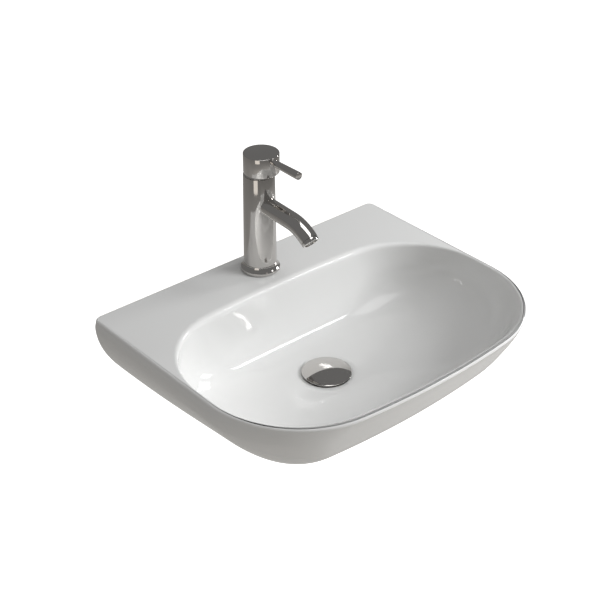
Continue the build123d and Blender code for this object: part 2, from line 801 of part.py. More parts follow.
# Handle: a thick round cap, set forward of the column, that turns and tips with the stem
cap_back = tap_setback + cap_offset - cap_radius
cap_front = tap_setback + cap_offset + cap_radius
socket_half = stem_side / 2 + close
relief_plane = Plane(
    origin=(0, cap_relief_start - tap_setback, rim + cap_bottom),
    z_dir=(0, -sin(radians(cap_relief_angle)), cos(radians(cap_relief_angle))),
)
with BuildPart() as handle_cap:
    with BuildSketch(tap_plane(cap_bottom)):
        with Locations((0, -cap_offset)):
            Circle(cap_radius)
    extrude(amount=cap_height)
    fillet(handle_cap.edges().group_by(Axis.Z)[-1], cap_edge_round)
    split(bisect_by=relief_plane, keep=Keep.TOP)
    with Locations((0, -tap_setback, rim + pivot_height)):
        Sphere(cap_hollow_radius, mode=Mode.SUBTRACT)
    with BuildSketch(tap_plane(cap_bottom)):
        Rectangle(2 * socket_half, 2 * socket_half)
    extrude(amount=stem_top + loose - cap_bottom, mode=Mode.SUBTRACT)
    with BuildSketch(Plane.XZ.offset(cap_back - 1)):
        with Locations((0, rim + grub_height)):
            Circle(grub_radius + close)
    extrude(amount=tap_setback - cap_back, mode=Mode.SUBTRACT)
    with BuildSketch(Plane.XZ.offset(cap_back - 1)):
        with Locations((0, rim + grub_height)):
            Circle(index_radius + close)
    extrude(amount=1 + index_depth, mode=Mode.SUBTRACT)
    with BuildSketch(Plane.XZ.offset(cap_front + 1)):
        with Locations((0, rim + pin_height)):
            Circle(pin_shank_radius + close)
    extrude(amount=-1 - pin_spotface - pin_shank_length, mode=Mode.SUBTRACT)
    with BuildSketch(Plane.XZ.offset(cap_front + 1)):
        with Locations((0, rim + pin_height)):
            Circle(pin_root_radius + close)
    extrude(amount=-1 - pin_spotface, mode=Mode.SUBTRACT)
handle_cap.part.label = "handle_cap"
export_step(handle_cap.part, "parts/handle_cap.step")

pin_plane = Plane((0, 0, rim + pin_height), x_dir=(0, -1, 0), z_dir=(1, 0, 0))
pin_root = cap_front - pin_spotface
with BuildPart() as lever_pin:
    with BuildSketch(pin_plane):
        with BuildLine():
            Polyline(
                (pin_root - pin_shank_length + loose, 0),
                (pin_root - pin_shank_length + loose, pin_shank_radius),
                (pin_root, pin_shank_radius),
                (pin_root, pin_root_radius),
                (pin_reach, pin_tip_radius),
                (pin_reach, 0),
                close=True,
            )
        make_face()
    revolve(axis=Axis((0, 0, rim + pin_height), (0, -1, 0)))
    fillet(lever_pin.edges().group_by(Axis.Y)[0], pin_tip_round)
lever_pin.part.label = "lever_pin"
export_step(lever_pin.part, "parts/lever_pin.step")

grub_start = tap_setback - stem_side / 2
with BuildPart() as grub_screw:
    with BuildSketch(Plane.XZ.offset(grub_start)):
        with Locations((0, rim + grub_height)):
            Circle(grub_radius)
    extrude(amount=-grub_length)
    with BuildSketch(Plane.XZ.offset(grub_start - grub_length)):
        with Locations((0, rim + grub_height)):
            RegularPolygon(grub_key_flats / 2, 6, major_radius=False)
    extrude(amount=grub_key_depth, mode=Mode.SUBTRACT)
grub_screw.part.label = "grub_screw"
export_step(grub_screw.part, "parts/grub_screw.step")

with BuildPart() as index_plug:
    with BuildSketch(Plane.XZ.offset(cap_back + index_depth)):
        with Locations((0, rim + grub_height)):
            Circle(index_radius)
    extrude(amount=-index_depth + close)
    fillet(index_plug.edges().group_by(Axis.Y)[-1], index_round)
index_plug.part.label = "index_plug"
export_step(index_plug.part, "parts/index_plug.step")

# Aerator in the spout's end
with BuildPart() as aerator_housing:
    with BuildSketch(outlet_plane):
        Circle(aerator_radius)
    extrude(amount=aerator_length)
    with BuildSketch(outlet_plane):
        Circle(aerator_socket_radius - close)
    extrude(amount=aerator_floor - aerator_socket_depth)
    with BuildSketch(outlet_plane.offset(aerator_length)):
        Circle(aerator_socket_radius - close - aerator_wall)
    extrude(amount=-aerator_length - aerator_socket_depth, mode=Mode.SUBTRACT)
aerator_housing.part.label = "aerator_housing"
export_step(aerator_housing.part, "parts/aerator_housing.step")

with BuildPart() as aerator_insert:
    with BuildSketch(outlet_plane.offset(aerator_length - aerator_inset)):
        Circle(aerator_socket_radius - 2 * close - aerator_wall)
        for ring_radius, holes in aerator_rings:
            with PolarLocations(ring_radius, holes):
                Circle(aerator_hole_radius, mode=Mode.SUBTRACT)
    extrude(amount=-aerator_insert_length)
aerator_insert.part.label = "aerator_insert"
export_step(aerator_insert.part, "parts/aerator_insert.step")

with BuildPart() as aerator_washer:
    with BuildSketch(outlet_plane.offset(-aerator_socket_depth)):
        Circle(aerator_socket_radius - close)
        Circle(spout_bore, mode=Mode.SUBTRACT)
    extrude(amount=aerator_washer_thickness)
aerator_washer.part.label = "aerator_washer"
export_step(aerator_washer.part, "parts/aerator_washer.step")

# Waste, heights above the bowl's floor
recess_floor = -waste_recess_depth
flange_bottom = recess_floor + top_washer
flange_top = flange_bottom + waste_flange
with BuildPart() as waste_body:
    with BuildSketch(waste_section):
        with BuildLine():
            Polyline(
                (waste_tail_radius, -waste_neck_depth - waste_neck_run_out),
                (waste_neck_radius, -waste_neck_depth),
                (waste_neck_radius, flange_bottom),
                (waste_flange_radius, flange_bottom),
                (waste_flange_radius, flange_top - waste_flange_chamfer),
                (waste_flange_radius - waste_flange_chamfer, flange_top),
                (throat_radius, flange_top),
                (waste_bore_radius, flange_top - throat_depth),
                (waste_bore_radius, -waste_tail_length),
                (waste_tail_radius, -waste_tail_length),
                (waste_tail_radius, -waste_groove_bottom),
                (waste_groove_radius, -waste_groove_bottom),
                (waste_groove_radius, -waste_groove_top),
                (waste_tail_radius, -waste_groove_top),
                close=True,
            )
        make_face()
    revolve(axis=waste_axis)
    with BuildSketch(waste_plane(-hub_depth)):
        Circle(hub_radius)
    extrude(amount=-hub_height)
    with BuildSketch(waste_plane(-hub_depth)):
        with PolarLocations(waste_bore_radius / 2, 3):
            Rectangle(waste_bore_radius + close, spider_arm)
    extrude(amount=-spider_height)
    with BuildSketch(waste_plane(-hub_depth)):
        Circle(click_radius + close)
    extrude(amount=-hub_height, mode=Mode.SUBTRACT)
waste_body.part.label = "waste_body"
export_step(waste_body.part, "parts/waste_body.step")


def ring(outer_radius, inner_radius):
    """Flat ring about the sketch's origin."""
    Circle(outer_radius)
    Circle(inner_radius, mode=Mode.SUBTRACT)


with BuildPart() as waste_top_washer:
    with BuildSketch(waste_plane(flange_bottom)):
        ring(top_washer_radius, waste_hole_radius)
    extrude(amount=-top_washer)
waste_top_washer.part.label = "waste_top_washer"
export_step(waste_top_washer.part, "parts/waste_top_washer.step")

with BuildPart() as waste_lower_washer:
    with BuildSketch(waste_plane(underfloor)):
        ring(lower_washer_radius, waste_tail_radius + close)
    extrude(amount=-lower_washer)
waste_lower_washer.part.label = "waste_lower_washer"
export_step(waste_lower_washer.part, "parts/waste_lower_washer.step")

slip_top = underfloor - lower_washer
with BuildPart() as waste_slip_washer:
    with BuildSketch(waste_plane(slip_top)):
        ring(slip_washer_radius, waste_tail_radius + loose)
    extrude(amount=-slip_washer)
waste_slip_washer.part.label = "waste_slip_washer"
export_step(waste_slip_washer.part, "parts/waste_slip_washer.step")

backnut_top = slip_top - slip_washer
with BuildPart() as waste_backnut:
    with BuildSketch(waste_plane(backnut_top)):
        RegularPolygon(backnut_flats / 2, 6, major_radius=False)
        Circle(waste_tail_radius + close, mode=Mode.SUBTRACT)
    extrude(amount=-backnut)
waste_backnut.part.label = "waste_backnut"
export_step(waste_backnut.part, "parts/waste_backnut.step")

# Push-open mechanism
click_top = -click_top_depth
with BuildPart() as click_housing:
    with BuildSketch(waste_plane(click_top)):
        Circle(click_radius)
    extrude(amount=-click_length)
    with BuildSketch(waste_plane(-hub_depth)):
        Circle(click_collar_radius)
    extrude(amount=click_collar)
    with BuildSketch(waste_plane(click_top)):
        Circle(plug_stem_radius + running)
    extrude(amount=click_floor - click_length, mode=Mode.SUBTRACT)
click_housing.part.label = "click_housing"
export_step(click_housing.part, "parts/click_housing.step")

plug_under = plug_gap
disc_bottom = plug_under - plug_disc
stem_end = disc_bottom - plug_stem_length
spring_bottom = click_top - click_length + click_floor
with BuildPart() as click_spring:
    with BuildSketch(waste_plane(spring_bottom)):
        Circle(plug_stem_radius - loose)
        Circle(plug_stem_radius - loose - spring_wall, mode=Mode.SUBTRACT)
    extrude(amount=stem_end - loose - spring_bottom)
click_spring.part.label = "click_spring"
export_step(click_spring.part, "parts/click_spring.step")

# Plug: a domed cap over a stepped disc that carries the seal
crown_top = plug_under + plug_edge + plug_crown
crown_radius = (plug_radius**2 + plug_crown**2) / (2 * plug_crown)
crown_half = plug_radius / 2
crown_mid = crown_top - crown_radius + sqrt(crown_radius**2 - crown_half**2)
with BuildPart() as plug_cap:
    with BuildSketch(waste_section):
        with BuildLine():
            ThreePointArc((0, crown_top), (crown_half, crown_mid), (plug_radius, plug_under + plug_edge))
            Polyline(
                (plug_radius, plug_under + plug_edge),
                (plug_radius - plug_rim_chamfer, plug_under),
                (throat_radius, plug_under + plug_under_recess),
                (plug_disc_radius, plug_under + plug_under_recess),
                (plug_disc_radius, disc_bottom),
                (0, disc_bottom),
                (0, crown_top),
            )
        make_face()
    revolve(axis=waste_axis)
    with BuildSketch(waste_plane(disc_bottom)):
        Circle(plug_stem_radius + close)
    extrude(amount=plug_socket, mode=Mode.SUBTRACT)
plug_cap.part.label = "plug_cap"
export_step(plug_cap.part, "parts/plug_cap.step")

with BuildPart() as plug_seal:
    with BuildSketch(waste_plane(disc_bottom + plug_seal_lift + plug_seal_height)):
        ring(plug_seal_radius, plug_disc_radius + close)
    extrude(amount=-plug_seal_height)
plug_seal.part.label = "plug_seal"
export_step(plug_seal.part, "parts/plug_seal.step")

with BuildPart() as plug_stem:
    with BuildSketch(waste_plane(stem_end)):
        Circle(plug_stem_radius)
    extrude(amount=plug_stem_length + plug_socket)
    chamfer(plug_stem.edges().group_by(Axis.Z)[0], plug_stem_chamfer)
plug_stem.part.label = "plug_stem"
export_step(plug_stem.part, "parts/plug_stem.step")
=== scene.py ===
# %% [markdown]
# # A wall-hung basin with a chrome mixer tap
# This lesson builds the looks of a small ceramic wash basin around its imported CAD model.
# The CAD model says where everything is and how it moves. Blender gives each visible surface a
# smooth mesh and a finish: white glaze, polished chrome, zinc plate, brass, rubber and plastic.
# Everything is in metres, +Z is up, and -Y points from the wall into the room.

# %% Load the frame
import json
from functools import partial
from math import asin, atan2, cos, degrees, hypot, pi, radians, sin, sqrt, tan

import bmesh
import bpy
from mathutils import Matrix, Vector

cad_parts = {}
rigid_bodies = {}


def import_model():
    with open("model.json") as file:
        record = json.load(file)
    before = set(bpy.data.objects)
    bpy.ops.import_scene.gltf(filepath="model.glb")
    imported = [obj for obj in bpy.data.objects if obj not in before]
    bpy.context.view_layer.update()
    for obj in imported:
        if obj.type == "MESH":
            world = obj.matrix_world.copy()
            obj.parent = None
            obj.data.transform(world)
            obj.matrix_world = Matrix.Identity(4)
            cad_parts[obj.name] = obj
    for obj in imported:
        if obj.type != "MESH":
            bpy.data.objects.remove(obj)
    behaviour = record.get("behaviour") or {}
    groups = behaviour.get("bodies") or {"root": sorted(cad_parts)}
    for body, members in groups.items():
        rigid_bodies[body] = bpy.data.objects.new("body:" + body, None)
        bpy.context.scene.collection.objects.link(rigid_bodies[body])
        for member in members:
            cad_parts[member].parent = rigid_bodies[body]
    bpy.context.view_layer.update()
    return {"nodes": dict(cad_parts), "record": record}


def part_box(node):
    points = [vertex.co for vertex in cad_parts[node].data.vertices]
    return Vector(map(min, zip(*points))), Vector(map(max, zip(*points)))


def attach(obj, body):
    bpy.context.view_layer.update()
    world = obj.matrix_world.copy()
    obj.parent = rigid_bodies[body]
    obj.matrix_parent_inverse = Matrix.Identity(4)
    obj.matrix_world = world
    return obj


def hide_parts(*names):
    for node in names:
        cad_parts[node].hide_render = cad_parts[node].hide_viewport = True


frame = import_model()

# %% [markdown]
# Pieces are placed from the CAD nodes, never by eye. The deck's height is the underside of the
# tap's gasket, the tap's axis is the middle of its base ring, and the waste's axis is the middle of
# its plug. If the CAD model changes, these follow.

# %% Places taken from the frame


def middle(node):
    """Centre of a CAD node's box."""
    low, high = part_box(node)
    return (low + high) / 2


basin_low, basin_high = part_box("basin")
deck = basin_high.z
tap_axis = middle("tap_base_ring").xy
waste_axis = middle("plug_cap").xy
pivot = middle("stem_pivot_pin").z - deck
print("deck height", round(deck, 4), "tap", tap_axis[:], "waste", waste_axis[:])

# %% [markdown]
# The photograph was taken from the front left and above with a long lens. The camera's place was
# solved from the rim's outline and the round tap and waste. It is written here as an angle round
# the basin, an angle above it and a place, and the lens is given for a 36 mm wide sensor.

# %% Camera
camera_azimuth = radians(-41.1251)
camera_elevation = radians(32.5889)
camera_roll = radians(0.2358)
camera_place = Vector((-1.01932, -1.30788, 1.04328))
focal_length, sensor_width = 79.49, 36

level = cos(camera_elevation)
ahead = Vector((-sin(camera_azimuth) * level, cos(camera_azimuth) * level, -sin(camera_elevation)))
rightward = Vector((cos(camera_azimuth), sin(camera_azimuth), 0))
upward = rightward.cross(ahead)
turned_right = rightward * cos(camera_roll) + upward * sin(camera_roll)
turned_up = upward * cos(camera_roll) - rightward * sin(camera_roll)

camera_data = bpy.data.cameras.new("camera")
camera_data.lens = focal_length
camera_data.sensor_width = sensor_width
camera = bpy.data.objects.new("camera", camera_data)
bpy.context.scene.collection.objects.link(camera)
turn = Matrix((turned_right, turned_up, -ahead)).transposed()
camera.matrix_world = Matrix.Translation(camera_place) @ turn.to_4x4()
bpy.context.scene.camera = camera
print("camera looks along", [round(v, 3) for v in ahead])

# %% [markdown]
# A material here is a short list of facts: a base colour, how metallic and how rough it is, and
# how fine its grain and bump are. A few helpers build the node tree from those facts, so every
# finish has colour that varies a little, gloss that varies a little and a surface that isn't
# perfectly flat. All patterns read Object coordinates, so they stay with the piece as it moves.

# %% Helpers: nodes, and a finish from a few facts


def feed(tree, node, inputs):
    """Sets a node's inputs to values or links them to sockets. Inputs go by name or number."""
    for key, value in inputs.items():
        socket = node.inputs[key.replace("_", " ") if isinstance(key, str) else key]
        if isinstance(value, bpy.types.NodeSocket):
            tree.links.new(value, socket)
        else:
            socket.default_value = value
    return node


def add_node(tree, kind, output, settings=None, **inputs):
    """Adds a node with its settings and inputs, and returns the named output."""
    node = tree.nodes.new(kind)
    for name, value in (settings or {}).items():
        setattr(node, name, value)
    return feed(tree, node, inputs).outputs[output]


def maths(tree, operation, *values):
    """The result of a Math node fed by numbers or sockets."""
    node = tree.nodes.new("ShaderNodeMath")
    node.operation = operation
    return feed(tree, node, dict(enumerate(values))).outputs["Value"]


def coordinates(tree, vector):
    """The X, Y and Z of a vector, as three sockets."""
    split = feed(tree, tree.nodes.new("ShaderNodeSeparateXYZ"), {"Vector": vector})
    return [split.outputs[axis] for axis in "XYZ"]


def object_place(tree):
    """The place of a point in its own piece's coordinates."""
    return tree.nodes.new("ShaderNodeTexCoord").outputs["Object"]


def noise(tree, scale, detail=2.0):
    """A noise texture on Object coordinates, scale in cycles for one metre."""
    place_here = object_place(tree)
    return add_node(tree, "ShaderNodeTexNoise", "Fac", Vector=place_here, Scale=scale, Detail=detail)


def spread(tree, source, low, high):
    """The middle of a noise's range, stretched to the range from low to high."""
    ends = {"From_Min": 0.3, "From_Max": 0.7, "To_Min": low, "To_Max": high}
    return add_node(tree, "ShaderNodeMapRange", "Result", Value=source, **ends)


def colour_between(tree, share, first, second):
    """A colour that goes from the first to the second with a share."""
    ends = {"A": (*first, 1), "B": (*second, 1)}
    return add_node(tree, "ShaderNodeMix", "Result", {"data_type": "RGBA"}, Factor=share, **ends)


def bumped(tree, height_here, distance):
    """The surface's normal, bent by a pattern of heights."""
    facts = {"Strength": 1.0, "Distance": distance}
    return add_node(tree, "ShaderNodeBump", "Normal", Height=height_here, **facts)


def new_material(name):
    """A material, its node tree and its shader."""
    material = bpy.data.materials.new(name)
    material.use_nodes = True
    return material, material.node_tree, material.node_tree.nodes["Principled BSDF"]


bump_grain = 900


def finish(name, colour, metal, rough, shift, grain, bump):
    """A material whose colour, gloss and surface vary by noise."""
    material, tree, shader = new_material(name)
    darker = [c * (1 - shift) for c in colour]
    lighter = [min(1, c * (1 + shift)) for c in colour]
    base_colour = colour_between(tree, spread(tree, noise(tree, grain), 0, 1), darker, lighter)
    gloss = spread(tree, noise(tree, grain * 3), *rough)
    feed(tree, shader, {"Base Color": base_colour, "Metallic": metal, "Roughness": gloss})
    if bump:
        feed(tree, shader, {"Normal": bumped(tree, noise(tree, bump_grain), bump)})
    return material


# %% [markdown]
# The finishes of the real parts: chrome plate on everything that shows of the tap and waste, zinc
# on the steel fixings, bare turned brass on the nuts, black rubber seals, moulded plastic, and the
# grey-white alumina of the cartridge's discs. The columns of the table are the colour, metal or
# not, the range of roughness, how far the colour shifts, the grain in cycles for one metre and the
# height of the bump in metres.

# %% Metal, rubber and plastic finishes
finishes = {}
for name, *facts in (
    ("chrome", (0.64, 0.62, 0.60), 1, (0.04, 0.08), 0.02, 25, 0),
    ("zinc_steel", (0.55, 0.56, 0.58), 1, (0.28, 0.42), 0.10, 140, 0.00002),
    ("brass", (0.72, 0.53, 0.24), 1, (0.22, 0.36), 0.06, 90, 0.00001),
    ("rubber", (0.025, 0.025, 0.026), 0, (0.55, 0.75), 0.15, 180, 0.00003),
    ("white_plastic", (0.74, 0.74, 0.71), 0, (0.35, 0.50), 0.03, 60, 0.00001),
    ("disc_ceramic", (0.70, 0.68, 0.62), 0, (0.12, 0.22), 0.03, 60, 0),
    ("black_steel", (0.05, 0.05, 0.055), 1, (0.35, 0.50), 0.10, 60, 0),
    ("grey_plastic", (0.30, 0.31, 0.33), 0, (0.15, 0.25), 0.03, 60, 0),
):
    finishes[name] = finish(name, *facts)
chrome, zinc_steel, white_plastic = (finishes[n] for n in ("chrome", "zinc_steel", "white_plastic"))
print("finishes:", ", ".join(finishes))

# %% [markdown]
# White glaze is a thin layer of glass over a white body. It is smooth and reflects sharply, but it
# pools and thins a little, so its surface has a long shallow wave. The face that meets the wall and
# the foot are ground flat and left bare, and show the dry, cream body of the ware. A mask on Object
# coordinates swaps the glaze for that body within half a millimetre of the wall and of the foot.

# %% Glaze with bare ground faces
glaze_colour, bare_colour = (0.80, 0.80, 0.79), (0.66, 0.62, 0.54)
glaze_roughness, bare_roughness = (0.04, 0.09), 0.75
gloss_grain, wave_grain, wave_height = 30, 22, 0.00012
bare_depth = 0.0006


def glazed(name):
    """White glaze, with the bare body where the piece is ground flat."""
    material, tree, shader = new_material(name)
    x, y, z = coordinates(tree, object_place(tree))
    near_wall = maths(tree, "GREATER_THAN", y, basin_high.y - bare_depth)
    near_foot = maths(tree, "LESS_THAN", z, basin_low.z + bare_depth)
    bare = maths(tree, "MAXIMUM", near_wall, near_foot)
    shine = spread(tree, noise(tree, gloss_grain), *glaze_roughness)
    gloss = add_node(tree, "ShaderNodeMix", "Result", Factor=bare, A=shine, B=bare_roughness)
    wave = bumped(tree, noise(tree, wave_grain, 0.0), wave_height)
    base_colour = colour_between(tree, bare, glaze_colour, bare_colour)
    facts = {"IOR": 1.5, "Base Color": base_colour, "Roughness": gloss, "Normal": wave}
    feed(tree, shader, facts)
    return material


finishes["glaze"] = glazed("glaze")

# %% [markdown]
# The basin's shape follows a rule, so its mesh does too. Every level cut through it is the same
# kind of outline: a straight back, tangent corner arcs, sides that toe in, and a bowed front.
# The rule's sizes change with depth, quickly near the foot of the outside and near the floor of
# the bowl. Each outline is walked with the same number of steps, so outlines join into clean
# quads, which hold a smooth reflection far better than triangles from a boolean would.

# %% The outline rule
back_steps, corner_steps, side_steps, front_steps = 16, 22, 18, 16


def arc_points(centre, radius, start, end, steps):
    """Points along an arc, without its last one. Angles are in radians."""
    angles = (start + (end - start) * i / steps for i in range(steps))
    return [Vector((centre[0] + radius * cos(a), centre[1] + radius * sin(a))) for a in angles]


def half_outline(half_width, back, front, back_radius, front_radius, toe_in, back_bow):
    """Points from the middle of the back, round the right side, to the middle of the front."""
    toe = tan(toe_in / 2)
    bow = tan(front_bow / 2)
    back_x = half_width - back_radius
    back_y = back - back_radius - back_x * tan(back_bow / 2)
    run = back_y - front - front_radius
    front_x = (half_width - front_radius - run * toe) / (1 - toe * bow)
    front_y = front + front_radius + front_x * bow
    side_end = Vector((front_x + front_radius * cos(toe_in), front_y - front_radius * sin(toe_in)))
    sweep = (front_x + front_radius * sin(front_bow)) / sin(front_bow)
    if back_bow:
        back_sweep = (back_x + back_radius * sin(back_bow)) / sin(back_bow)
        points = arc_points((0, back - back_sweep), back_sweep, pi / 2, pi / 2 - back_bow, back_steps)
    else:
        points = [Vector((back_x * i / back_steps, back)) for i in range(back_steps)]
    points += arc_points((back_x, back_y), back_radius, pi / 2 - back_bow, 0, corner_steps)
    if toe_in > 1e-6:
        side = (back_y - side_end.y) / sin(toe_in)
        points += arc_points((half_width - side, back_y), side, 0, -toe_in, side_steps)
    else:
        start = Vector((half_width, back_y))
        points += [start.lerp(side_end, i / side_steps) for i in range(side_steps)]
    points += arc_points((front_x, front_y), front_radius, -toe_in, front_bow - pi / 2, corner_steps)
    points += arc_points((0, front + sweep), sweep, front_bow - pi / 2, -pi / 2, front_steps)
    return points + [Vector((0, front))]


def mirrored(half):
    """A closed ring: the right half, then its mirror image without the two middle points."""
    return half + [Vector((-p.x, p.y, p.z)) for p in reversed(half[1:-1])]


# %% [markdown]
# These are the outside's driving sizes, the same as in the CAD source, in metres and radians.
# The side swells a little under the rim and draws in towards the foot, and the front leans back
# under the basin, which is why it looks thin-edged and light from above.

# %% Outside of the basin
half_rim = 0.250
projection = 0.396
height = 0.126
rim_edge = 0.004
rim_round = 0.0034
back_corner, front_corner, foot_corner = 0.008, 0.142, 0.044
front_bow = radians(6.4)
bulge, bulge_depth = 0.0018, 0.012
side_draw, side_curve = 0.069, 1.85
front_lean, lean_curve = 0.068, 0.9
front_tuck, tuck_curve = 0.061, 7.7
foot_toe_in, toe_start, toe_curve = radians(14.8), 0.19, 1.14


def shell_half(depth, inset=0.0, back=0.0):
    """Half outline of the outside at a depth below the rim."""
    fall = max(0.0, depth - rim_edge) / (height - rim_edge)
    below = max(0.0, depth - bulge_depth) / (height - bulge_depth)
    swell = bulge * sin(pi / 2 * min(1.0, max(0.0, depth - rim_edge) / (bulge_depth - rim_edge)))
    half_width = half_rim + swell - (side_draw + swell) * below**side_curve
    front = projection - front_lean * fall**lean_curve - front_tuck * fall**tuck_curve
    corner = front_corner + (foot_corner - front_corner) * fall
    toe_in = foot_toe_in * max(0.0, (fall - toe_start) / (1 - toe_start)) ** toe_curve
    return half_outline(half_width - inset, -back, inset - front, back_corner, corner - inset, toe_in, 0)


def level_ring(half, z):
    """A closed ring at one height."""
    return mirrored([Vector((p.x, p.y, z)) for p in half])


wall_levels, rim_levels, rim_margin = 44, 6, 0.0008
outside = []
for i in range(wall_levels + 1):
    depth = height + (rim_edge - height) * i / wall_levels
    outside.append(level_ring(shell_half(depth), deck - depth))
for i in range(rim_levels + 1):
    angle = pi / 2 * i / rim_levels
    inset = rim_round * (1 - cos(angle))
    outside.append(level_ring(shell_half(0, inset), deck - rim_round * (1 - sin(angle))))
outside.append(level_ring(shell_half(0, rim_round + rim_margin), deck))
print("outside rings", len(outside), "points each", len(outside[0]))

# %% [markdown]
# The bowl uses the same outline with rounder back corners. Its walls fall steeply at the rim and
# flatten into the floor, so the levels are spaced closer near the floor. Slip-cast ware has no
# sharp edges: the glaze rounds the bowl's edge by about 3 mm at the sides, and the broad deck
# rolls into the bowl by about 9 mm, which the photograph shows as a soft, wide highlight.

# %% Bowl
bowl_depth = 0.105
rim_width, front_rim_width = 0.0075, 0.0055
deck_length = 0.091
bowl_back_corner, bowl_front_corner, floor_corner = 0.122, 0.134, 0.040
bowl_back_bow = radians(3.8)
floor_radius = 0.045
bowl_side_curve, bowl_back_curve, bowl_front_curve = 2.4, 4.0, 8.0
bowl_lean, bowl_lean_curve, bowl_corner_curve = 0.38, 0.75, 1.5
side_roll, deck_roll = 0.003, 0.009
ceramic = 0.012


def bowl_half(fall, outset=0.0):
    """Half outline of the bowl at a share of its depth."""
    half_width = floor_radius + (half_rim - rim_width - floor_radius) * sqrt(1 - fall**bowl_side_curve)
    floor_back = waste_axis.y + floor_radius
    back = floor_back - (floor_back + deck_length) * sqrt(1 - fall**bowl_back_curve)
    rim_front = front_rim_width - projection
    share = bowl_lean * fall**bowl_lean_curve + (1 - bowl_lean) * fall**bowl_front_curve
    front = rim_front + (waste_axis.y - floor_radius - rim_front) * share
    corner_share = fall**bowl_corner_curve
    back_radius = bowl_back_corner + (floor_corner - bowl_back_corner) * corner_share
    front_radius = bowl_front_corner + (floor_corner - bowl_front_corner) * corner_share
    edges = (half_width + outset, back + outset, front - outset)
    return half_outline(*edges, back_radius + outset, front_radius + outset, 0, bowl_back_bow)


def ease(share):
    """Smooth step from 0 to 1."""
    share = min(1.0, max(0.0, share))
    return share * share * (3 - 2 * share)


rim_half_outline = bowl_half(0)
points_per_half = len(rim_half_outline)
corner_shares = [(i - back_steps) / corner_steps for i in range(points_per_half)]
rolls = [deck_roll + (side_roll - deck_roll) * ease(share) for share in corner_shares]
half_falls = {}


def bowl_point(i, fall):
    """Point i of the bowl's half outline at a share of its depth."""
    if fall not in half_falls:
        half_falls[fall] = bowl_half(fall)
    return half_falls[fall][i]


def outward(i):
    """Unit normal, away from the bowl, at point i of its rim."""
    before = rim_half_outline[max(0, i - 1)]
    after = rim_half_outline[min(points_per_half - 1, i + 1)]
    if i in (0, points_per_half - 1):
        return Vector((0, 1 if i == 0 else -1))
    along = (after - before).normalized()
    return Vector((-along.y, along.x))


roll_levels, wall_rows, deck_margin = 8, 46, 0.001
inside = []
for level in range(-1, roll_levels + 1):
    share = max(0, level) / roll_levels
    half = []
    for i in range(points_per_half):
        start = rim_half_outline[i] + outward(i) * (rolls[i] + (deck_margin if level < 0 else 0.0))
        end = bowl_point(i, rolls[i] / bowl_depth)
        flat = start * (1 - share) ** 2 + rim_half_outline[i] * 2 * share * (1 - share) + end * share**2
        half.append(Vector((flat.x, flat.y, deck - rolls[i] * share**2)))
    inside.append(mirrored(half))
for row in range(1, wall_rows + 1):
    share = 1 - (1 - row / wall_rows) ** 2
    half = []
    for i in range(points_per_half):
        start = rolls[i] / bowl_depth
        fall = start + (1 - start) * share
        flat = bowl_point(i, fall)
        half.append(Vector((flat.x, flat.y, deck - bowl_depth * fall)))
    inside.append(mirrored(half))
print("bowl rings", len(inside))

# %% [markdown]
# The waste sits in a shallow round recess. The last rings turn the floor's outline into that
# circle. The whole basin is then one closed skin: foot, outside, rim, deck, bowl and recess.

# %% Recess for the waste and one closed skin
recess_radius, recess_depth = 0.0335, 0.0035
recess_margin, recess_break = 0.0008, 0.0005
floor_z = deck - bowl_depth


def recess_ring(radius, z):
    """Circle round the waste, with its points in the same directions as the floor's outline."""
    ring = []
    for p in inside[-1]:
        angle = atan2(p.y - waste_axis.y, p.x)
        ring.append(Vector((radius * cos(angle), waste_axis.y + radius * sin(angle), z)))
    return ring


skin = outside + inside
skin.append(recess_ring(recess_radius + recess_margin, floor_z))
skin += [recess_ring(recess_radius, floor_z - depth) for depth in (recess_break, recess_depth)]


def lofted(name, rings):
    """A closed mesh through rings of equal length, capped at both ends."""
    mesh = bpy.data.meshes.new(name)
    count = len(rings[0])
    points = [p for ring in rings for p in ring]
    faces = [tuple(reversed(range(count)))]
    for level in range(len(rings) - 1):
        for i in range(count):
            j = (i + 1) % count
            a, b = level * count, (level + 1) * count
            faces.append((a + i, a + j, b + j, b + i))
    last = (len(rings) - 1) * count
    faces.append(tuple(range(last, last + count)))
    mesh.from_pydata(points, [], faces)
    shape = bmesh.new()
    shape.from_mesh(mesh)
    bmesh.ops.recalc_face_normals(shape, faces=shape.faces)
    shape.to_mesh(mesh)
    shape.free()
    return mesh


basin_skin = lofted("basin_skin", skin)
print("basin skin faces", len(basin_skin.polygons))

# %% [markdown]
# Underneath, the casting is hollow: a thick foot and side wall, the underside of the deck, and the
# belly of the bowl. It is cut out by booleans, because their seams fall on real edges where
# nothing smooth crosses. The same step cuts the tap hole, the waste hole and the two bolt holes.

# %% Helper: booleans between plain meshes
workshop = bpy.data.collections.new("workshop")
bpy.context.scene.collection.children.link(workshop)


def combine(name, base, others, operation="DIFFERENCE"):
    """Base mesh with the others cut from it, joined to it or met with it."""
    holder = bpy.data.objects.new(name, base)
    workshop.objects.link(holder)
    for other in others:
        tool = bpy.data.objects.new(name + "_tool", other)
        workshop.objects.link(tool)
        cut = holder.modifiers.new("cut", "BOOLEAN")
        cut.operation = operation
        cut.solver = "EXACT"
        cut.object = tool
    result = plain_mesh(holder, name)
    for o in list(workshop.objects):
        bpy.data.objects.remove(o)
    return result


def plain_mesh(holder, name):
    """The mesh of an object after its modifiers."""
    graph = bpy.context.evaluated_depsgraph_get()
    graph.update()
    mesh = bpy.data.meshes.new_from_object(holder.evaluated_get(graph), depsgraph=graph)
    mesh.name = name
    return mesh


def mesh_of(shape, name):
    """A mesh from a bmesh, which is thrown away."""
    mesh = bpy.data.meshes.new(name)
    shape.to_mesh(mesh)
    shape.free()
    return mesh


def join_meshes(name, meshes):
    """One mesh from several."""
    shape = bmesh.new()
    for mesh in meshes:
        shape.from_mesh(mesh)
    return mesh_of(shape, name)


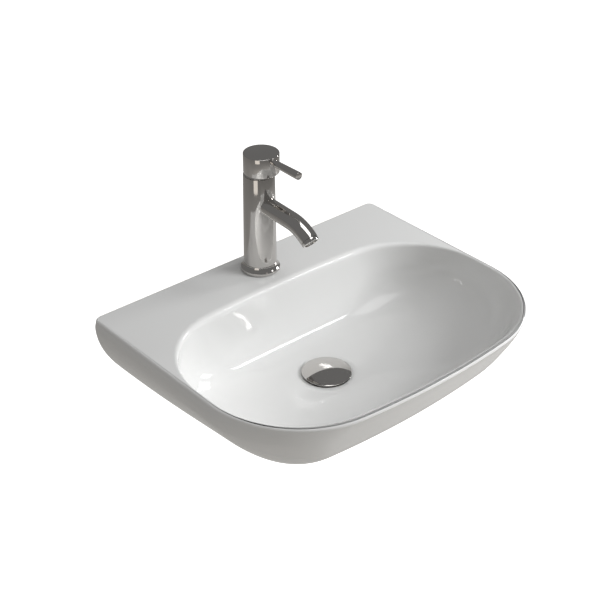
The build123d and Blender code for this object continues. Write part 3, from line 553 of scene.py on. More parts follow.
def standing(base, axis):
    """The matrix that sets something upright at the origin on base, along axis."""
    return Matrix.Translation(base) @ axis.to_track_quat("Z", "Y").to_matrix().to_4x4()


def drill(start, end, radius, sides=96):
    """A cylinder from start to end, to cut a hole."""
    shape = bmesh.new()
    sizes = {"radius1": radius, "radius2": radius, "depth": (end - start).length}
    bmesh.ops.create_cone(shape, cap_ends=True, segments=sides, **sizes)
    shape.transform(standing((start + end) / 2, end - start))
    return mesh_of(shape, "drill")


# %% [markdown]
# The hollow follows the outside's rule at the wall's thickness, and the belly follows the bowl's
# rule at the ceramic's thickness, so both walls stay even. The holes are drilled a little past
# both faces, because faces that coincide would confuse a boolean.

# %% Hollow underside and the holes
deck_thickness, back_wall, side_wall = 0.014, 0.014, 0.020
under_levels, past_foot = 26, 0.001
hollow = []
for i in range(under_levels + 1):
    depth = deck_thickness + (height + past_foot - deck_thickness) * i / under_levels
    inner = shell_half(min(depth, height), side_wall, back_wall)
    hollow.append(level_ring(inner, deck - depth))
belly_levels = 34
belly = []
for i in range(belly_levels + 1):
    fall = 1 - (1 - i / belly_levels) ** 2
    belly.append(level_ring(bowl_half(fall, ceramic), deck - fall * (bowl_depth + ceramic)))
under = combine("under", lofted("hollow", hollow), [lofted("belly", belly)])

half_bolt_span = 0.140
bolt_places = [Vector((side * half_bolt_span, 0, 0)) for side in (-1, 1)]
tap_hole, waste_hole, bolt_hole = 0.0175, 0.023, 0.009
drill_before, drill_after = 0.01, 0.02
tap_point = Vector((tap_axis.x, tap_axis.y, deck))
waste_point = Vector((waste_axis.x, waste_axis.y, floor_z))
up, out, origin = Vector((0, 0, 1)), Vector((0, -1, 0)), Vector((0, 0, 0))
holes = [(tap_point, -up, tap_hole), (waste_point, -up, waste_hole)]
holes += [(spot, out, bolt_hole) for spot in bolt_places]
drills = [drill(p - way * drill_before, p + way * drill_after, radius) for p, way, radius in holes]
basin_mesh = combine("basin_body", basin_skin, [under, *drills])
print("basin body faces", len(basin_mesh.polygons))

# %% [markdown]
# Every finished piece goes through one last step: smooth shading with sharp edges kept where the
# surface really turns, its material chosen by the name of its slot, the body that it rides on, and
# the hiding of the CAD nodes that it stands for.

# %% Helper: place a finished piece


def place(name, mesh, slot_name, body, nodes, sharp=35):
    """Makes the object for a piece, hangs it on its body and hides the CAD nodes it stands for."""
    mesh.name = name
    mesh.materials.clear()
    mesh.materials.append(finishes[slot_name])
    for face in mesh.polygons:
        face.material_index = 0
    mesh.shade_smooth()
    mesh.set_sharp_from_angle(angle=radians(sharp))
    piece = bpy.data.objects.new(name, mesh)
    bpy.context.scene.collection.objects.link(piece)
    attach(piece, body)
    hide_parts(*nodes)
    print(name, "faces", len(mesh.polygons))
    return piece


place("glazed_basin", basin_mesh, "glaze", "fixed", ["basin"])

# %% [markdown]
# Tap and waste parts are turned on a lathe, so their meshes are too: a profile of radius and height
# is swept round an axis. Real turned parts have a tiny broken edge everywhere, which is what
# catches the light, so a Bevel modifier rounds every sharp corner by a few tenths of a millimetre.

# %% Helper: a turned piece
MM, TO_MM = 0.001, 1000
turned_sides = 128


def bevelled(mesh, width, segments=3, angle=30):
    """The mesh with every edge sharper than an angle rounded."""
    holder = bpy.data.objects.new("bevel_work", mesh)
    workshop.objects.link(holder)
    edge = holder.modifiers.new("edge", "BEVEL")
    edge.width = width
    edge.segments = segments
    edge.limit_method = "ANGLE"
    edge.angle_limit = radians(angle)
    edge.use_clamp_overlap = True
    result = plain_mesh(holder, mesh.name)
    bpy.data.objects.remove(holder)
    return result


def turned(name, profile, base, axis=up, sides=turned_sides, break_edge=0.25):
    """Sweeps (radius, height) points in millimetres, a closed loop or one that ends on the axis."""
    shape = bmesh.new()
    rows = []
    for radius, height_mm in profile:
        r, z = radius * MM, height_mm * MM
        spin = [2 * pi * i / sides for i in range(sides)] if radius > 0 else [0]
        rows.append([shape.verts.new((r * cos(a), r * sin(a), z)) for a in spin])
    for low, high in zip(rows, rows[1:] + rows[:1]):
        for i in range(sides):
            j = (i + 1) % sides
            if len(low) == 1 and len(high) == 1:
                break
            corners = [low[i % len(low)], low[j % len(low)], high[j % len(high)], high[i % len(high)]]
            shape.faces.new(list(dict.fromkeys(corners)))
    bmesh.ops.recalc_face_normals(shape, faces=shape.faces)
    mesh = mesh_of(shape, name)
    if break_edge:
        mesh = bevelled(mesh, break_edge * MM)
    mesh.transform(standing(base, axis))
    return mesh


def profile_arc(centre, radius, start, end, steps):
    """Points of a profile along an arc, angles in degrees."""
    angles = (radians(start + (end - start) * i / steps) for i in range(steps + 1))
    return [(centre[0] + radius * cos(a), centre[1] + radius * sin(a)) for a in angles]


# %% [markdown]
# The spout is a tube that follows a path: straight out of the column, then a bend down. Geometry
# Nodes sweeps it. The tree takes any curve, gives it a round section of the named radius, closes
# its ends and sets the material. A path and one radius say all there is to say about a tube, so
# this is easier to change than a mesh.

# %% Geometry Nodes: a tube along a path


def node_group(name, **sockets):
    """A Geometry Nodes tree with a mesh in, a mesh out and named inputs of the given kinds."""
    tree = bpy.data.node_groups.new(name, "GeometryNodeTree")
    tree.interface.new_socket("Geometry", in_out="INPUT", socket_type="NodeSocketGeometry")
    for label, kind in sockets.items():
        label = label.replace("_", " ")
        tree.interface.new_socket(label, in_out="INPUT", socket_type="NodeSocket" + kind)
    tree.interface.new_socket("Geometry", in_out="OUTPUT", socket_type="NodeSocketGeometry")
    return tree, tree.nodes.new("NodeGroupInput").outputs, tree.nodes.new("NodeGroupOutput")


def close_tree(tree, geometry, given, result):
    """Ends a tree in Realize Instances and Set Material."""
    real = add_node(tree, "GeometryNodeRealizeInstances", "Geometry", Geometry=geometry)
    inputs = {"Geometry": real, "Material": given["Material"]}
    feed(tree, result, {"Geometry": add_node(tree, "GeometryNodeSetMaterial", "Geometry", **inputs)})


def run_tree(tree, data, **values):
    """Runs a tree on a mesh or curve and returns a plain mesh."""
    holder = bpy.data.objects.new("tree_work", data)
    workshop.objects.link(holder)
    step = holder.modifiers.new("tree", "NODES")
    step.node_group = tree
    sockets = {s.name: s.identifier for s in tree.interface.items_tree if s.in_out == "INPUT"}
    for label, value in values.items():
        step[sockets[label.replace("_", " ")]] = value
    result = plain_mesh(holder, tree.name)
    bpy.data.objects.remove(holder)
    return result


circle_kind = "GeometryNodeCurvePrimitiveCircle"
tube_tree, given, result = node_group("tube_on_path", Radius="Float", Sides="Int", Material="Material")
circle = {"Radius": given["Radius"], "Resolution": given["Sides"]}
section = add_node(tube_tree, circle_kind, "Curve", **circle)
path = {"Curve": given["Geometry"], "Profile Curve": section, "Fill Caps": True}
close_tree(tube_tree, add_node(tube_tree, "GeometryNodeCurveToMesh", "Mesh", **path), given, result)

# %% [markdown]
# The path repeats the CAD model's: a nearly level run that starts inside the column, and an arc
# that leaves it without a kink and ends at the outlet. The arc's centre lies on the line at right
# angles to the run at the bend, and as far from the bend as from the outlet.

# %% The spout's path
spout_radius, spout_sides = 12.5, 72
spout_run_start = Vector((-41.4, 105.4))
spout_bend = Vector((-107.0, 102.6))
spout_outlet = Vector((-144.4, 88.4))
run_direction = (spout_bend - spout_run_start).normalized()
across = Vector((-run_direction.y, run_direction.x))
if across.y > 0:
    across = -across
chord = spout_outlet - spout_bend
bend_radius = chord.length_squared / (2 * chord.dot(across))
bend_centre = spout_bend + across * bend_radius
start_angle = atan2(*(spout_bend - bend_centre).yx)
end_angle = atan2(*(spout_outlet - bend_centre).yx)
run_steps, bend_steps = 8, 26
path_points = [spout_run_start.lerp(spout_bend, i / run_steps) for i in range(run_steps)]
for i in range(bend_steps + 1):
    angle = start_angle + (end_angle - start_angle) * i / bend_steps
    path_points.append(bend_centre + bend_radius * Vector((cos(angle), sin(angle))))
outlet_direction = Vector((0, -sin(end_angle), cos(end_angle)))
if outlet_direction.z > 0:
    outlet_direction = -outlet_direction
outlet_direction = outlet_direction.normalized()
outlet_point = Vector((0, spout_outlet.x * MM, deck + spout_outlet.y * MM))
print("bend radius", round(bend_radius, 1), "mm, outlet points along", outlet_direction[:])

# %% [markdown]
# The path lies in the plane through the tap's axis, and its points become a curve for the tree.
# Only the outlet's end stays visible as a flat face, because the other end is inside the column.

# %% The spout
spout_curve = bpy.data.curves.new("spout_path", "CURVE")
spout_curve.dimensions = "3D"
line = spout_curve.splines.new("POLY")
line.points.add(len(path_points) - 1)
for point, where in zip(line.points, path_points):
    point.co = (0, where.x * MM, deck + where.y * MM, 1)
tube = {"Radius": spout_radius * MM, "Sides": spout_sides, "Material": chrome}
spout_mesh = run_tree(tube_tree, spout_curve, **tube)
print("spout faces", len(spout_mesh.polygons))

# %% [markdown]
# The column is one brass casting with the spout, turned, polished and chrome plated, so the two
# meshes become one by a boolean union. It tapers a little towards the top. The two inlets and the
# hole of the fixing stud are drilled from below, where they show through the deck's hole.

# %% Column and spout
tap_base = Vector((tap_axis.x, tap_axis.y, deck))
column_foot, column_top, spigot = 1.2, 146.5, 21
ring_top, low_radius, top_radius = 13, 23.2, 21.5
nut_bore, nut_floor, can_bore, can_floor = 18.4, 136, 17.8, 113.5
column_profile = [(0, column_foot), (spigot, column_foot), (spigot, ring_top)]
column_profile += [(low_radius, ring_top), (top_radius, column_top), (nut_bore, column_top)]
column_profile += [(nut_bore, nut_floor), (can_bore, nut_floor), (can_bore, can_floor), (0, can_floor)]
column = turned("column", column_profile, tap_base, break_edge=0.4)
tap_mesh = combine("tap_casting", column, [spout_mesh], "UNION")
drill_start, drill_end, inlet_radius, stud_hole_radius = 0.5, 15.2, 5.0, 4.1
tap_drills = []
for x, y, radius in ((-8, -4, inlet_radius), (8, -4, inlet_radius), (0, 12, stud_hole_radius)):
    foot = tap_base + up * drill_start * MM + Vector((x * MM, y * MM, 0))
    tap_drills.append(drill(foot, foot + up * (drill_end * MM - drill_start * MM), radius * MM, 48))
tap_mesh = combine("tap_casting", tap_mesh, tap_drills)
place("tap_column_and_spout", tap_mesh, "chrome", "fixed", ["tap_body"])

# %% [markdown]
# The base ring hides the joint between tap and deck. It has a short upright band and then a hollow
# curve that runs up into the column. The shroud is a thin spun dome whose centre is the lever's
# pivot, so that the handle can tip over it with an even gap.

# %% Base ring and shroud
ring_bore, ring_radius, band_top = 21.1, 27.5, 5
cove_centre, cove_radius = (37.015, 15.27), 14
cove_start = degrees(atan2(band_top - cove_centre[1], ring_radius - cove_centre[0]))
cove_end = degrees(atan2(ring_top - cove_centre[1], low_radius - cove_centre[0]))
if cove_end > 0:
    cove_end -= 360
ring_profile = [(ring_bore, ring_top), (ring_bore, column_foot), (ring_radius, column_foot)]
ring_profile += profile_arc(cove_centre, cove_radius, cove_start, cove_end, 10)
ring_mesh = turned("base_ring", ring_profile, tap_base, break_edge=0.35)
place("base_ring", ring_mesh, "chrome", "fixed", ["tap_base_ring"])

pivot_mm = pivot / MM
shroud_outer, shroud_inner, shroud_mouth, shroud_foot = 21.4, 19.8, 13.2, 146.5
skirt_bore, skirt_radius, skirt_foot, dome_steps = 16.7, 18.3, 144.3, 14


def dome_ends(radius):
    """Angles on a circle about the pivot, at the shroud's foot and at its mouth."""
    foot_angle = degrees(asin((shroud_foot - pivot_mm) / radius))
    return foot_angle, degrees(atan2(sqrt(radius**2 - shroud_mouth**2), shroud_mouth))


outer_ends, inner_ends = dome_ends(shroud_outer), reversed(dome_ends(shroud_inner))
shroud_profile = profile_arc((0, pivot_mm), shroud_outer, *outer_ends, dome_steps)
shroud_profile += profile_arc((0, pivot_mm), shroud_inner, *inner_ends, dome_steps)
shroud_profile += [(skirt_bore, shroud_foot), (skirt_bore, skirt_foot)]
shroud_profile += [(skirt_radius, skirt_foot), (skirt_radius, shroud_foot)]
shroud_mesh = turned("shroud", shroud_profile, tap_base, break_edge=0.15)
place("shroud", shroud_mesh, "chrome", "fixed", ["cartridge_shroud"])

# %% [markdown]
# The handle is a thick round cap that sits forward of the column, with a flat top and crisp edges.
# Underneath it is hollowed to a ball's shape, round the same pivot as the shroud, and its back
# edge is cut at a slant, which leaves room to tip. It has a socket for the square stem, a grub
# screw hole at the back and a counterbore for the lever at the front.

# %% Handle cap
cap_centre = middle("handle_cap")
cap_radius, cap_bottom, cap_top = 24.45, 152.5, 180.0
cap_profile = [(0, cap_bottom), (cap_radius, cap_bottom), (cap_radius, cap_top), (0, cap_top)]
cap_base = Vector((tap_axis.x, cap_centre.y, deck))
cap_blank = turned("cap_blank", cap_profile, cap_base, break_edge=0.7)

ball_radius = 22.2
ball = bmesh.new()
bmesh.ops.create_uvsphere(ball, u_segments=96, v_segments=64, radius=ball_radius * MM)
ball.transform(Matrix.Translation(tap_base + up * pivot))
hollow_ball = mesh_of(ball, "hollow_ball")


def block(name, size, placed):
    """A box of the given size about the origin, moved by a matrix."""
    shape = bmesh.new()
    bmesh.ops.create_cube(shape, size=1)
    shape.transform(placed @ Matrix.Diagonal((*size, 1)))
    return mesh_of(shape, name)


relief_angle, relief_start = radians(12), 3.0
wedge_size = (0.1, 0.1, 0.02)
wedge_edge = tap_base + Vector((0, relief_start * MM, cap_bottom * MM))
wedge_place = Matrix.Translation(wedge_edge) @ Matrix.Rotation(relief_angle, 4, "X")
wedge_place = wedge_place @ Matrix.Translation((0, 0, -wedge_size[2] / 2))
socket_side, socket_top = 8.2, 168.3
socket_size = (socket_side * MM, socket_side * MM, (socket_top - cap_bottom) * MM)
socket_middle = tap_base + up * (socket_top + cap_bottom) / 2 * MM
hollows = [block("relief", wedge_size, wedge_place), hollow_ball]
hollows.append(block("stem_socket", socket_size, Matrix.Translation(socket_middle)))

cap_front = cap_centre.y - cap_radius * MM
cap_back = cap_centre.y + cap_radius * MM
pin_z, grub_z = deck + 174.5 * MM, deck + 164.5 * MM
pin_seat, pin_depth, index_depth = 0.9, 11.9, 3.2
pin_mouth = Vector((0, cap_front, pin_z))
index_mouth = Vector((0, cap_back, grub_z))
hollows += [
    drill(pin_mouth + out * MM, pin_mouth - out * pin_seat * MM, 4.7 * MM),
    drill(pin_mouth + out * MM, pin_mouth - out * pin_depth * MM, 3.1 * MM, 48),
    drill(index_mouth - out * MM, index_mouth + out * index_depth * MM, 3.2 * MM, 48),
    drill(index_mouth - out * MM, Vector((0, tap_axis.y, grub_z)), 2.6 * MM, 48),
]
cap_mesh = combine("cap_casting", cap_blank, hollows)
place("handle_cap_polished", cap_mesh, "chrome", "handle", ["handle_cap"])

# %% [markdown]
# The lever is a plain rod, a little thicker at its end than at its root, with a flat end face whose
# edge is barely rounded. It is turned along -Y from its shank inside the cap. The small plug at the
# back hides the grub screw.

# %% Lever and index plug
lever_root = pin_mouth - out * pin_seat * MM
lever_length = TO_MM * (lever_root.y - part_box("lever_pin")[0].y)
shank_radius, shank_end, root_radius, end_radius = 3, -10.7, 4.6, 5.4
lever_profile = [(0, shank_end), (shank_radius, shank_end), (shank_radius, 0), (root_radius, 0)]
lever_profile += [(end_radius, lever_length), (0, lever_length)]
lever_mesh = turned("lever", lever_profile, lever_root, out, 96, 0.5)
place("lever_rod", lever_mesh, "chrome", "handle", ["lever_pin"])

index_low, index_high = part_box("index_plug")
index_length, index_radius = TO_MM * (index_high.y - index_low.y), 3.1
index_profile = [(0, 0), (index_radius, 0), (index_radius, index_length), (0, index_length)]
index_mesh = turned("index", index_profile, Vector((0, index_low.y, grub_z)), -out, 64, 0.5)
place("index_button", index_mesh, "grey_plastic", "handle", ["index_plug"])

# %% [markdown]
# The aerator is a short collar at the end of the spout, with its thread hidden inside the spout.

# %% Aerator collar
collar_bore, collar_radius, collar_tip = 9.3, 12.1, 5
collar_thread, collar_end = 10.8, -7.5
collar_profile = [(collar_bore, collar_tip), (collar_radius, collar_tip), (collar_radius, 0)]
collar_profile += [(collar_thread, 0), (collar_thread, collar_end), (collar_bore, collar_end)]
collar = turned("collar", collar_profile, outlet_point, outlet_direction, 96, 0.35)
place("aerator_collar", collar, "chrome", "fixed", ["aerator_housing"])

# %% [markdown]
# Inside the collar a plastic honeycomb mixes air into the water. Its cell repeats, so Geometry
# Nodes makes it once: the area between two hexagons, pushed out into a short tube, its open back
# closed by the same area turned round. The tree puts a cell on every point that it is given.

# %% Geometry Nodes: a honeycomb


def joined_geometry(tree, *parts):
    """Several geometries as one."""
    join = tree.nodes.new("GeometryNodeJoinGeometry")
    for part in parts:
        tree.links.new(part, join.inputs["Geometry"])
    return join.outputs["Geometry"]


comb_tree, given, result = node_group(
    "honeycomb", Cell_Radius="Float", Wall_Scale="Float", Depth="Float", Material="Material"
)
in_comb = partial(add_node, comb_tree)
wall_scale, weld_distance = given["Wall Scale"], 0.00001
outer_edge = in_comb(circle_kind, "Curve", Resolution=6, Radius=given["Cell Radius"])
inner_scale = in_comb("ShaderNodeCombineXYZ", "Vector", X=wall_scale, Y=wall_scale, Z=1)
inner_edge = in_comb("GeometryNodeTransform", "Geometry", Geometry=outer_edge, Scale=inner_scale)
both_edges = joined_geometry(comb_tree, outer_edge, inner_edge)
flat_cell = in_comb("GeometryNodeFillCurve", "Mesh", Curve=both_edges)
push = {"Mesh": flat_cell, "Individual": False, "Offset_Scale": given["Depth"]}
thick_cell = in_comb("GeometryNodeExtrudeMesh", "Mesh", **push)
back_face = in_comb("GeometryNodeFlipFaces", "Mesh", Mesh=flat_cell)
closed_cell = joined_geometry(comb_tree, thick_cell, back_face)
weld = {"Geometry": closed_cell, "Distance": weld_distance}
welded = in_comb("GeometryNodeMergeByDistance", "Geometry", **weld)
spots = {"Points": given["Geometry"], "Instance": welded}
cells = in_comb("GeometryNodeInstanceOnPoints", "Instances", **spots)
close_tree(comb_tree, cells, given, result)

# %% [markdown]
# The points form a triangular grid, and only those within the collar are kept. A rim and a thin
# disc behind the cells hold them together, as in the moulded insert.

# %% The honeycomb in the collar
cell_radius, comb_radius, comb_depth, rim_bore = 1.15, 9.2, 6, 8.3
wall_share, web, rim_top, comb_sunk = 0.8, 2, 0.4, 2.2
pitch_x, pitch_y = cell_radius * sqrt(3), cell_radius * 1.5
comb_points = []
for row in range(-8, 9):
    for column_index in range(-8, 9):
        x = (column_index + (row % 2) / 2) * pitch_x
        y = row * pitch_y
        if hypot(x, y) < comb_radius - cell_radius:
            comb_points.append((y * MM, x * MM, 0))
comb_grid = bpy.data.meshes.new("comb_grid")
comb_grid.from_pydata(comb_points, [], [])
cell = {"Cell_Radius": cell_radius * MM, "Wall_Scale": wall_share, "Depth": comb_depth * MM}
comb = run_tree(comb_tree, comb_grid, Material=white_plastic, **cell)
comb_back = Vector((0, 0, -comb_depth * MM))
comb.transform(Matrix.Translation(comb_back))
disc_profile = [(0, 0), (comb_radius, 0), (comb_radius, web), (0, web)]
comb_disc = turned("comb_disc", disc_profile, comb_back, break_edge=0)
rim_profile = [(comb_radius, -comb_depth), (comb_radius, rim_top)]
rim_profile += [(rim_bore, rim_top), (rim_bore, -comb_depth)]
comb_rim = turned("comb_rim", rim_profile, origin, break_edge=0.1)
comb_mesh = join_meshes("comb", [comb, comb_disc, comb_rim])
comb_mesh.transform(standing(outlet_point + outlet_direction * comb_sunk * MM, outlet_direction))
place("aerator_comb", comb_mesh, "white_plastic", "fixed", ["aerator_insert"], 30)

# %% [markdown]
# The waste's plug is a shallow dome of chromed brass. It rises on its stem when pushed. Below the
# dome a stepped disc carries the rubber seal.

# %% Plug and seal
plug_bottom, plug_top = (TO_MM * (v.z - floor_z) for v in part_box("plug_cap"))
plug_radius, plug_under, plug_edge, plug_disc = 34.5, 1.8, 1.5, 17.4
lip_low, lip_radius, hollow_radius, hollow_top = 3.0, 33.9, 24, 2.6
crown = plug_top - plug_under - plug_edge
crown_radius = (plug_radius**2 + crown**2) / (2 * crown)
half_angle = degrees(asin(plug_radius / crown_radius))
dome = profile_arc((0, plug_top - crown_radius), crown_radius, 90, 90 - half_angle, 20)
dome[0] = (0, plug_top)
plug_profile = dome + [(plug_radius, lip_low), (lip_radius, plug_under), (hollow_radius, hollow_top)]
plug_profile += [(plug_disc, hollow_top), (plug_disc, plug_bottom), (0, plug_bottom)]
plug_mesh = turned("plug", plug_profile, waste_point, break_edge=0.5)
place("plug_dome", plug_mesh, "chrome", "plug", ["plug_cap"])

seal_bottom, seal_top = (TO_MM * (v.z - floor_z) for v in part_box("plug_seal"))
seal_bore, seal_foot, seal_radius, seal_head = 17.5, 19.6, 20.4, 19.8
seal_profile = [(seal_bore, seal_top), (seal_bore, seal_bottom), (seal_foot, seal_bottom)]
seal_profile += [(seal_radius, seal_bottom + 1.2), (seal_radius, seal_top - 0.8), (seal_head, seal_top)]
seal_mesh = turned("seal", seal_profile, waste_point, break_edge=0.2)
place("plug_ring", seal_mesh, "rubber", "plug", ["plug_seal"])

# %% [markdown]
# A screw thread is a ridge that climbs once round for each pitch. Geometry Nodes can cut one into
# any turned piece: each point near the outer radius moves inwards by a triangle wave of its angle
# and height. The same tree cuts the wall bolts, the tap's stud and the waste's tail.

# %% Geometry Nodes: a thread cut into a turned surface
kinds = {"Radius": "Float", "Pitch": "Float", "Depth": "Float", "From": "Float", "To": "Float"}
thread_tree, given, result = node_group("thread", **kinds, Material="Material")
calc = partial(maths, thread_tree)
near_outside = 0.995
here = thread_tree.nodes.new("GeometryNodeInputPosition").outputs["Position"]
x, y, z = coordinates(thread_tree, here)
turns_round = calc("DIVIDE", calc("ARCTAN2", y, x), 2 * pi)
climb = calc("SUBTRACT", calc("DIVIDE", z, given["Pitch"]), turns_round)
wave = calc("PINGPONG", climb, 0.5)
radius_here = calc("SQRT", calc("ADD", calc("MULTIPLY", x, x), calc("MULTIPLY", y, y)))
outer = calc("GREATER_THAN", radius_here, calc("MULTIPLY", given["Radius"], near_outside))
above = calc("GREATER_THAN", z, given["From"])
below = calc("LESS_THAN", z, given["To"])
active = calc("MULTIPLY", outer, calc("MULTIPLY", above, below))
cut_depth = calc("MULTIPLY", calc("MULTIPLY", wave, 2), given["Depth"])
shrink = calc("SUBTRACT", 1, calc("DIVIDE", calc("MULTIPLY", cut_depth, active), radius_here))
new_x, new_y = calc("MULTIPLY", x, shrink), calc("MULTIPLY", y, shrink)
new_place = add_node(thread_tree, "ShaderNodeCombineXYZ", "Vector", X=new_x, Y=new_y, Z=z)
moved = {"Geometry": given["Geometry"], "Position": new_place}
cut = add_node(thread_tree, "GeometryNodeSetPosition", "Geometry", **moved)
close_tree(thread_tree, cut, given, result)


def rows_between(low, high, pitch, rows_per_turn=6):
    """Heights for a surface that will carry a thread."""
    count = max(2, int((high - low) / pitch * rows_per_turn))
    return [low + (high - low) * i / count for i in range(count + 1)]


def cut_thread(mesh, radius, pitch, depth, low, high, material):
    """The mesh with a thread between two heights, sizes in millimetres."""
    sizes = {"Radius": radius * MM, "Pitch": pitch * MM, "Depth": depth * MM}
    return run_tree(thread_tree, mesh, **sizes, From=low * MM, To=high * MM, Material=material)


def threaded_rod(name, radius, length, pitch, ends, base, axis, sides=28):
    """A rod with a thread along its whole length and chamfered ends."""
    near, far = ends
    profile = [(0, 0), (radius - near, 0)]
    profile += [(radius, z_row) for z_row in rows_between(near, length - far, pitch)]
    profile += [(radius - far, length), (0, length)]
    rod = turned(name, profile, origin, sides=sides, break_edge=0)
    low, high = near * clear_of_end, length - far * clear_of_end
    rod = cut_thread(rod, radius, pitch, depth_share * pitch, low, high, zinc_steel)
    rod.transform(standing(base, axis))
    return rod


clear_of_end, depth_share = 1.01, 0.58

# %% [markdown]
# The basin hangs on two M10 studs, which have a coarse screw end for the wall plug and a fine
# thread for the nut. A plastic bush takes up the play in the ceramic's hole, and a washer and a
# hexagon nut clamp it. The nuts' corners are turned off at both ends, as on every
# real nut, by keeping only what lies inside a chamfered cylinder.

# %% Wall bolts and nuts
bolt_low, bolt_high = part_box("wall_bolts")
bolt_shoulder = 2.0
screw_radius, screw_pitch, screw_ends = 4.8, 3.6, (2.5, 0.3)
thread_radius, thread_pitch, thread_ends = 5.0, 1.5, (0.3, 0.8)
screw_length = TO_MM * bolt_high.y - bolt_shoulder
bolt_length = bolt_shoulder - TO_MM * bolt_low.y
bolts = []
for spot in bolt_places:
    screw = (screw_radius, screw_length, screw_pitch, screw_ends, Vector((spot.x, bolt_high.y, 0)))
    shoulder = Vector((spot.x, bolt_shoulder * MM, 0))
    thread = (thread_radius, bolt_length, thread_pitch, thread_ends, shoulder)
    bolts += [threaded_rod("bolt_screw", *screw, out), threaded_rod("bolt_thread", *thread, out)]
place("wall_studs", join_meshes("wall_studs", bolts), "zinc_steel", "fixed", ["wall_bolts"], 20)


def hex_nut(name, flats, thickness, bore, base, axis):
    """A hexagon nut with its corners turned off, standing on base along axis."""
    corner, chamfer = flats / sqrt(3), flats * 0.06
    square_ends = [(0, 0), (corner, 0), (corner, thickness), (0, thickness)]
    cut_ends = [(0, 0), (flats / 2, 0), (corner, chamfer), (corner, thickness - chamfer)]
    cut_ends += [(flats / 2, thickness), (0, thickness)]
    prism = turned("prism", square_ends, origin, sides=6, break_edge=0)
    blank = turned("blank", cut_ends, origin, sides=96, break_edge=0)
    nut = combine(name, prism, [blank], "INTERSECT")
    nut = combine(name, nut, [drill(-up * MM, up * (thickness + 1) * MM, bore * MM, 48)])
    nut.transform(standing(base, axis))
    return nut


nut_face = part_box("wall_bolt_nuts")[1].y
nuts = [hex_nut("nut", 17.0, 8.0, 5.1, Vector((p.x, nut_face, 0)), out) for p in bolt_places]
place("wall_nuts", join_meshes("wall_nuts", nuts), "zinc_steel", "fixed", ["wall_bolt_nuts"])

# %% [markdown]
# One M8 stud under the deck pulls the tap down on its gasket, by a long brass nut below the clamp.

# %% Tap stud and its nut
stud_low, stud_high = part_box("tap_stud")
stud_base = Vector((0, middle("tap_stud").y, stud_low.z))
stud_length = TO_MM * (stud_high.z - stud_low.z)
stud = threaded_rod("stud", 4.0, stud_length, 1.25, (0.8, 0.4), stud_base, up)
place("tap_fixing_stud", stud, "zinc_steel", "fixed", ["tap_stud"], 20)
long_nut_base = Vector((0, stud_base.y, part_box("clamp_nut")[0].z))
long_nut = hex_nut("long_nut", 13.0, 14.0, 4.1, long_nut_base, up)
place("tap_clamp_nut", long_nut, "brass", "fixed", ["clamp_nut"])

# %% [markdown]
# The waste body is a turned brass tube, chromed, with a wide flange that sits in the recess on a
# thin washer, a cone that the plug's seal drops into, and a threaded tail with a plain groove that
# ends the thread. The click mechanism stands on a three-armed spider inside it.

# %% Waste body
tail, bore, tail_end, tail_pitch = 20.95, 18.9, -79.0, 2.3
tail_chamfer, tail_depth, thread_top = 0.6, 0.9, -13.0
groove, groove_low, groove_high = 20.0, -31.0, -28.5
neck, neck_low, flange, flange_low, flange_top = 22.6, -6.5, 32, -2.1, 0.9
tail_low, tail_high = (
    [(tail, z_row) for z_row in rows_between(low, high, tail_pitch, 8)]
    for low, high in ((tail_end + tail_chamfer, groove_low), (groove_high, neck_low - 2))
)
body_profile = [(bore, tail_end), (tail - tail_chamfer, tail_end), *tail_low]
body_profile += [(groove, groove_low), (groove, groove_high), *tail_high]
body_profile += [(neck, neck_low), (neck, flange_low), (flange, flange_low), (flange, 0.1)]
body_profile += [(31.2, flange_top), (24, flange_top), (bore, -4.9)]
body_profile += [(bore, z_row) for z_row in (-20, -40, -60)]
tube = turned("waste_tube", body_profile, origin, sides=144, break_edge=0)
tube = cut_thread(tube, tail, tail_pitch, tail_depth, tail_end + 0.5, thread_top, chrome)

hub_bore, hub_radius, hub_low, hub_top = 6.1, 9, -32, -22
hub = [(hub_bore, hub_low), (hub_radius, hub_low), (hub_radius, hub_top), (hub_bore, hub_top)]
spider = [turned("hub", hub, origin, sides=64, break_edge=0.3)]
arm_size = (11 * MM, 4 * MM, 5 * MM)
arm_place = Matrix.Translation((13.6 * MM, 0, -24.5 * MM))
for arm in range(3):
    turn_arm = Matrix.Rotation(2 * pi * arm / 3, 4, "Z")
    spider.append(bevelled(block("spider_arm", arm_size, turn_arm @ arm_place), 0.4 * MM))
waste_mesh = join_meshes("waste", [tube, *spider])
waste_mesh.transform(Matrix.Translation(waste_point))
place("waste_tube_and_flange", waste_mesh, "chrome", "fixed", ["waste_body"], 30)

# %% [markdown]
# Below the bowl a large hexagon nut pulls the waste down, over a rubber washer against the ceramic
# and a slip washer that lets the nut turn. Each washer takes its place from its CAD node.

# %% Backnut and washers
backnut_base = Vector((waste_axis.x, waste_axis.y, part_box("waste_backnut")[0].z))
backnut = hex_nut("backnut", 54.0, 9.0, 21.0, backnut_base, up)
place("waste_lock_nut", backnut, "brass", "fixed", ["waste_backnut"])


def washer(node, outer_radius, inner_radius, slot_name, break_edge=0.4):
    """A flat ring in the place of a CAD washer that lies level."""
    low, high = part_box(node)
    rise = TO_MM * (high.z - low.z)
    base = Vector(((low.x + high.x) / 2, (low.y + high.y) / 2, low.z))
    profile = [(inner_radius, 0), (outer_radius, 0), (outer_radius, rise), (inner_radius, rise)]
    place(node + "_ring", turned(node, profile, base, break_edge=break_edge), slot_name, "fixed", [node])


washer("waste_lower_washer", 29.0, 21.05, "rubber", 0.8)
washer("waste_slip_washer", 30.0, 21.25, "white_plastic")
washer("waste_top_washer", 31.5, 23.0, "rubber", 0.3)
washer("base_gasket", 25.5, 17.5, "rubber", 0.3)

# %% [markdown]
# The CAD nodes that stay, such as the cartridge's parts and the clamp under the deck, keep their
# own meshes and get the finish of their slot.

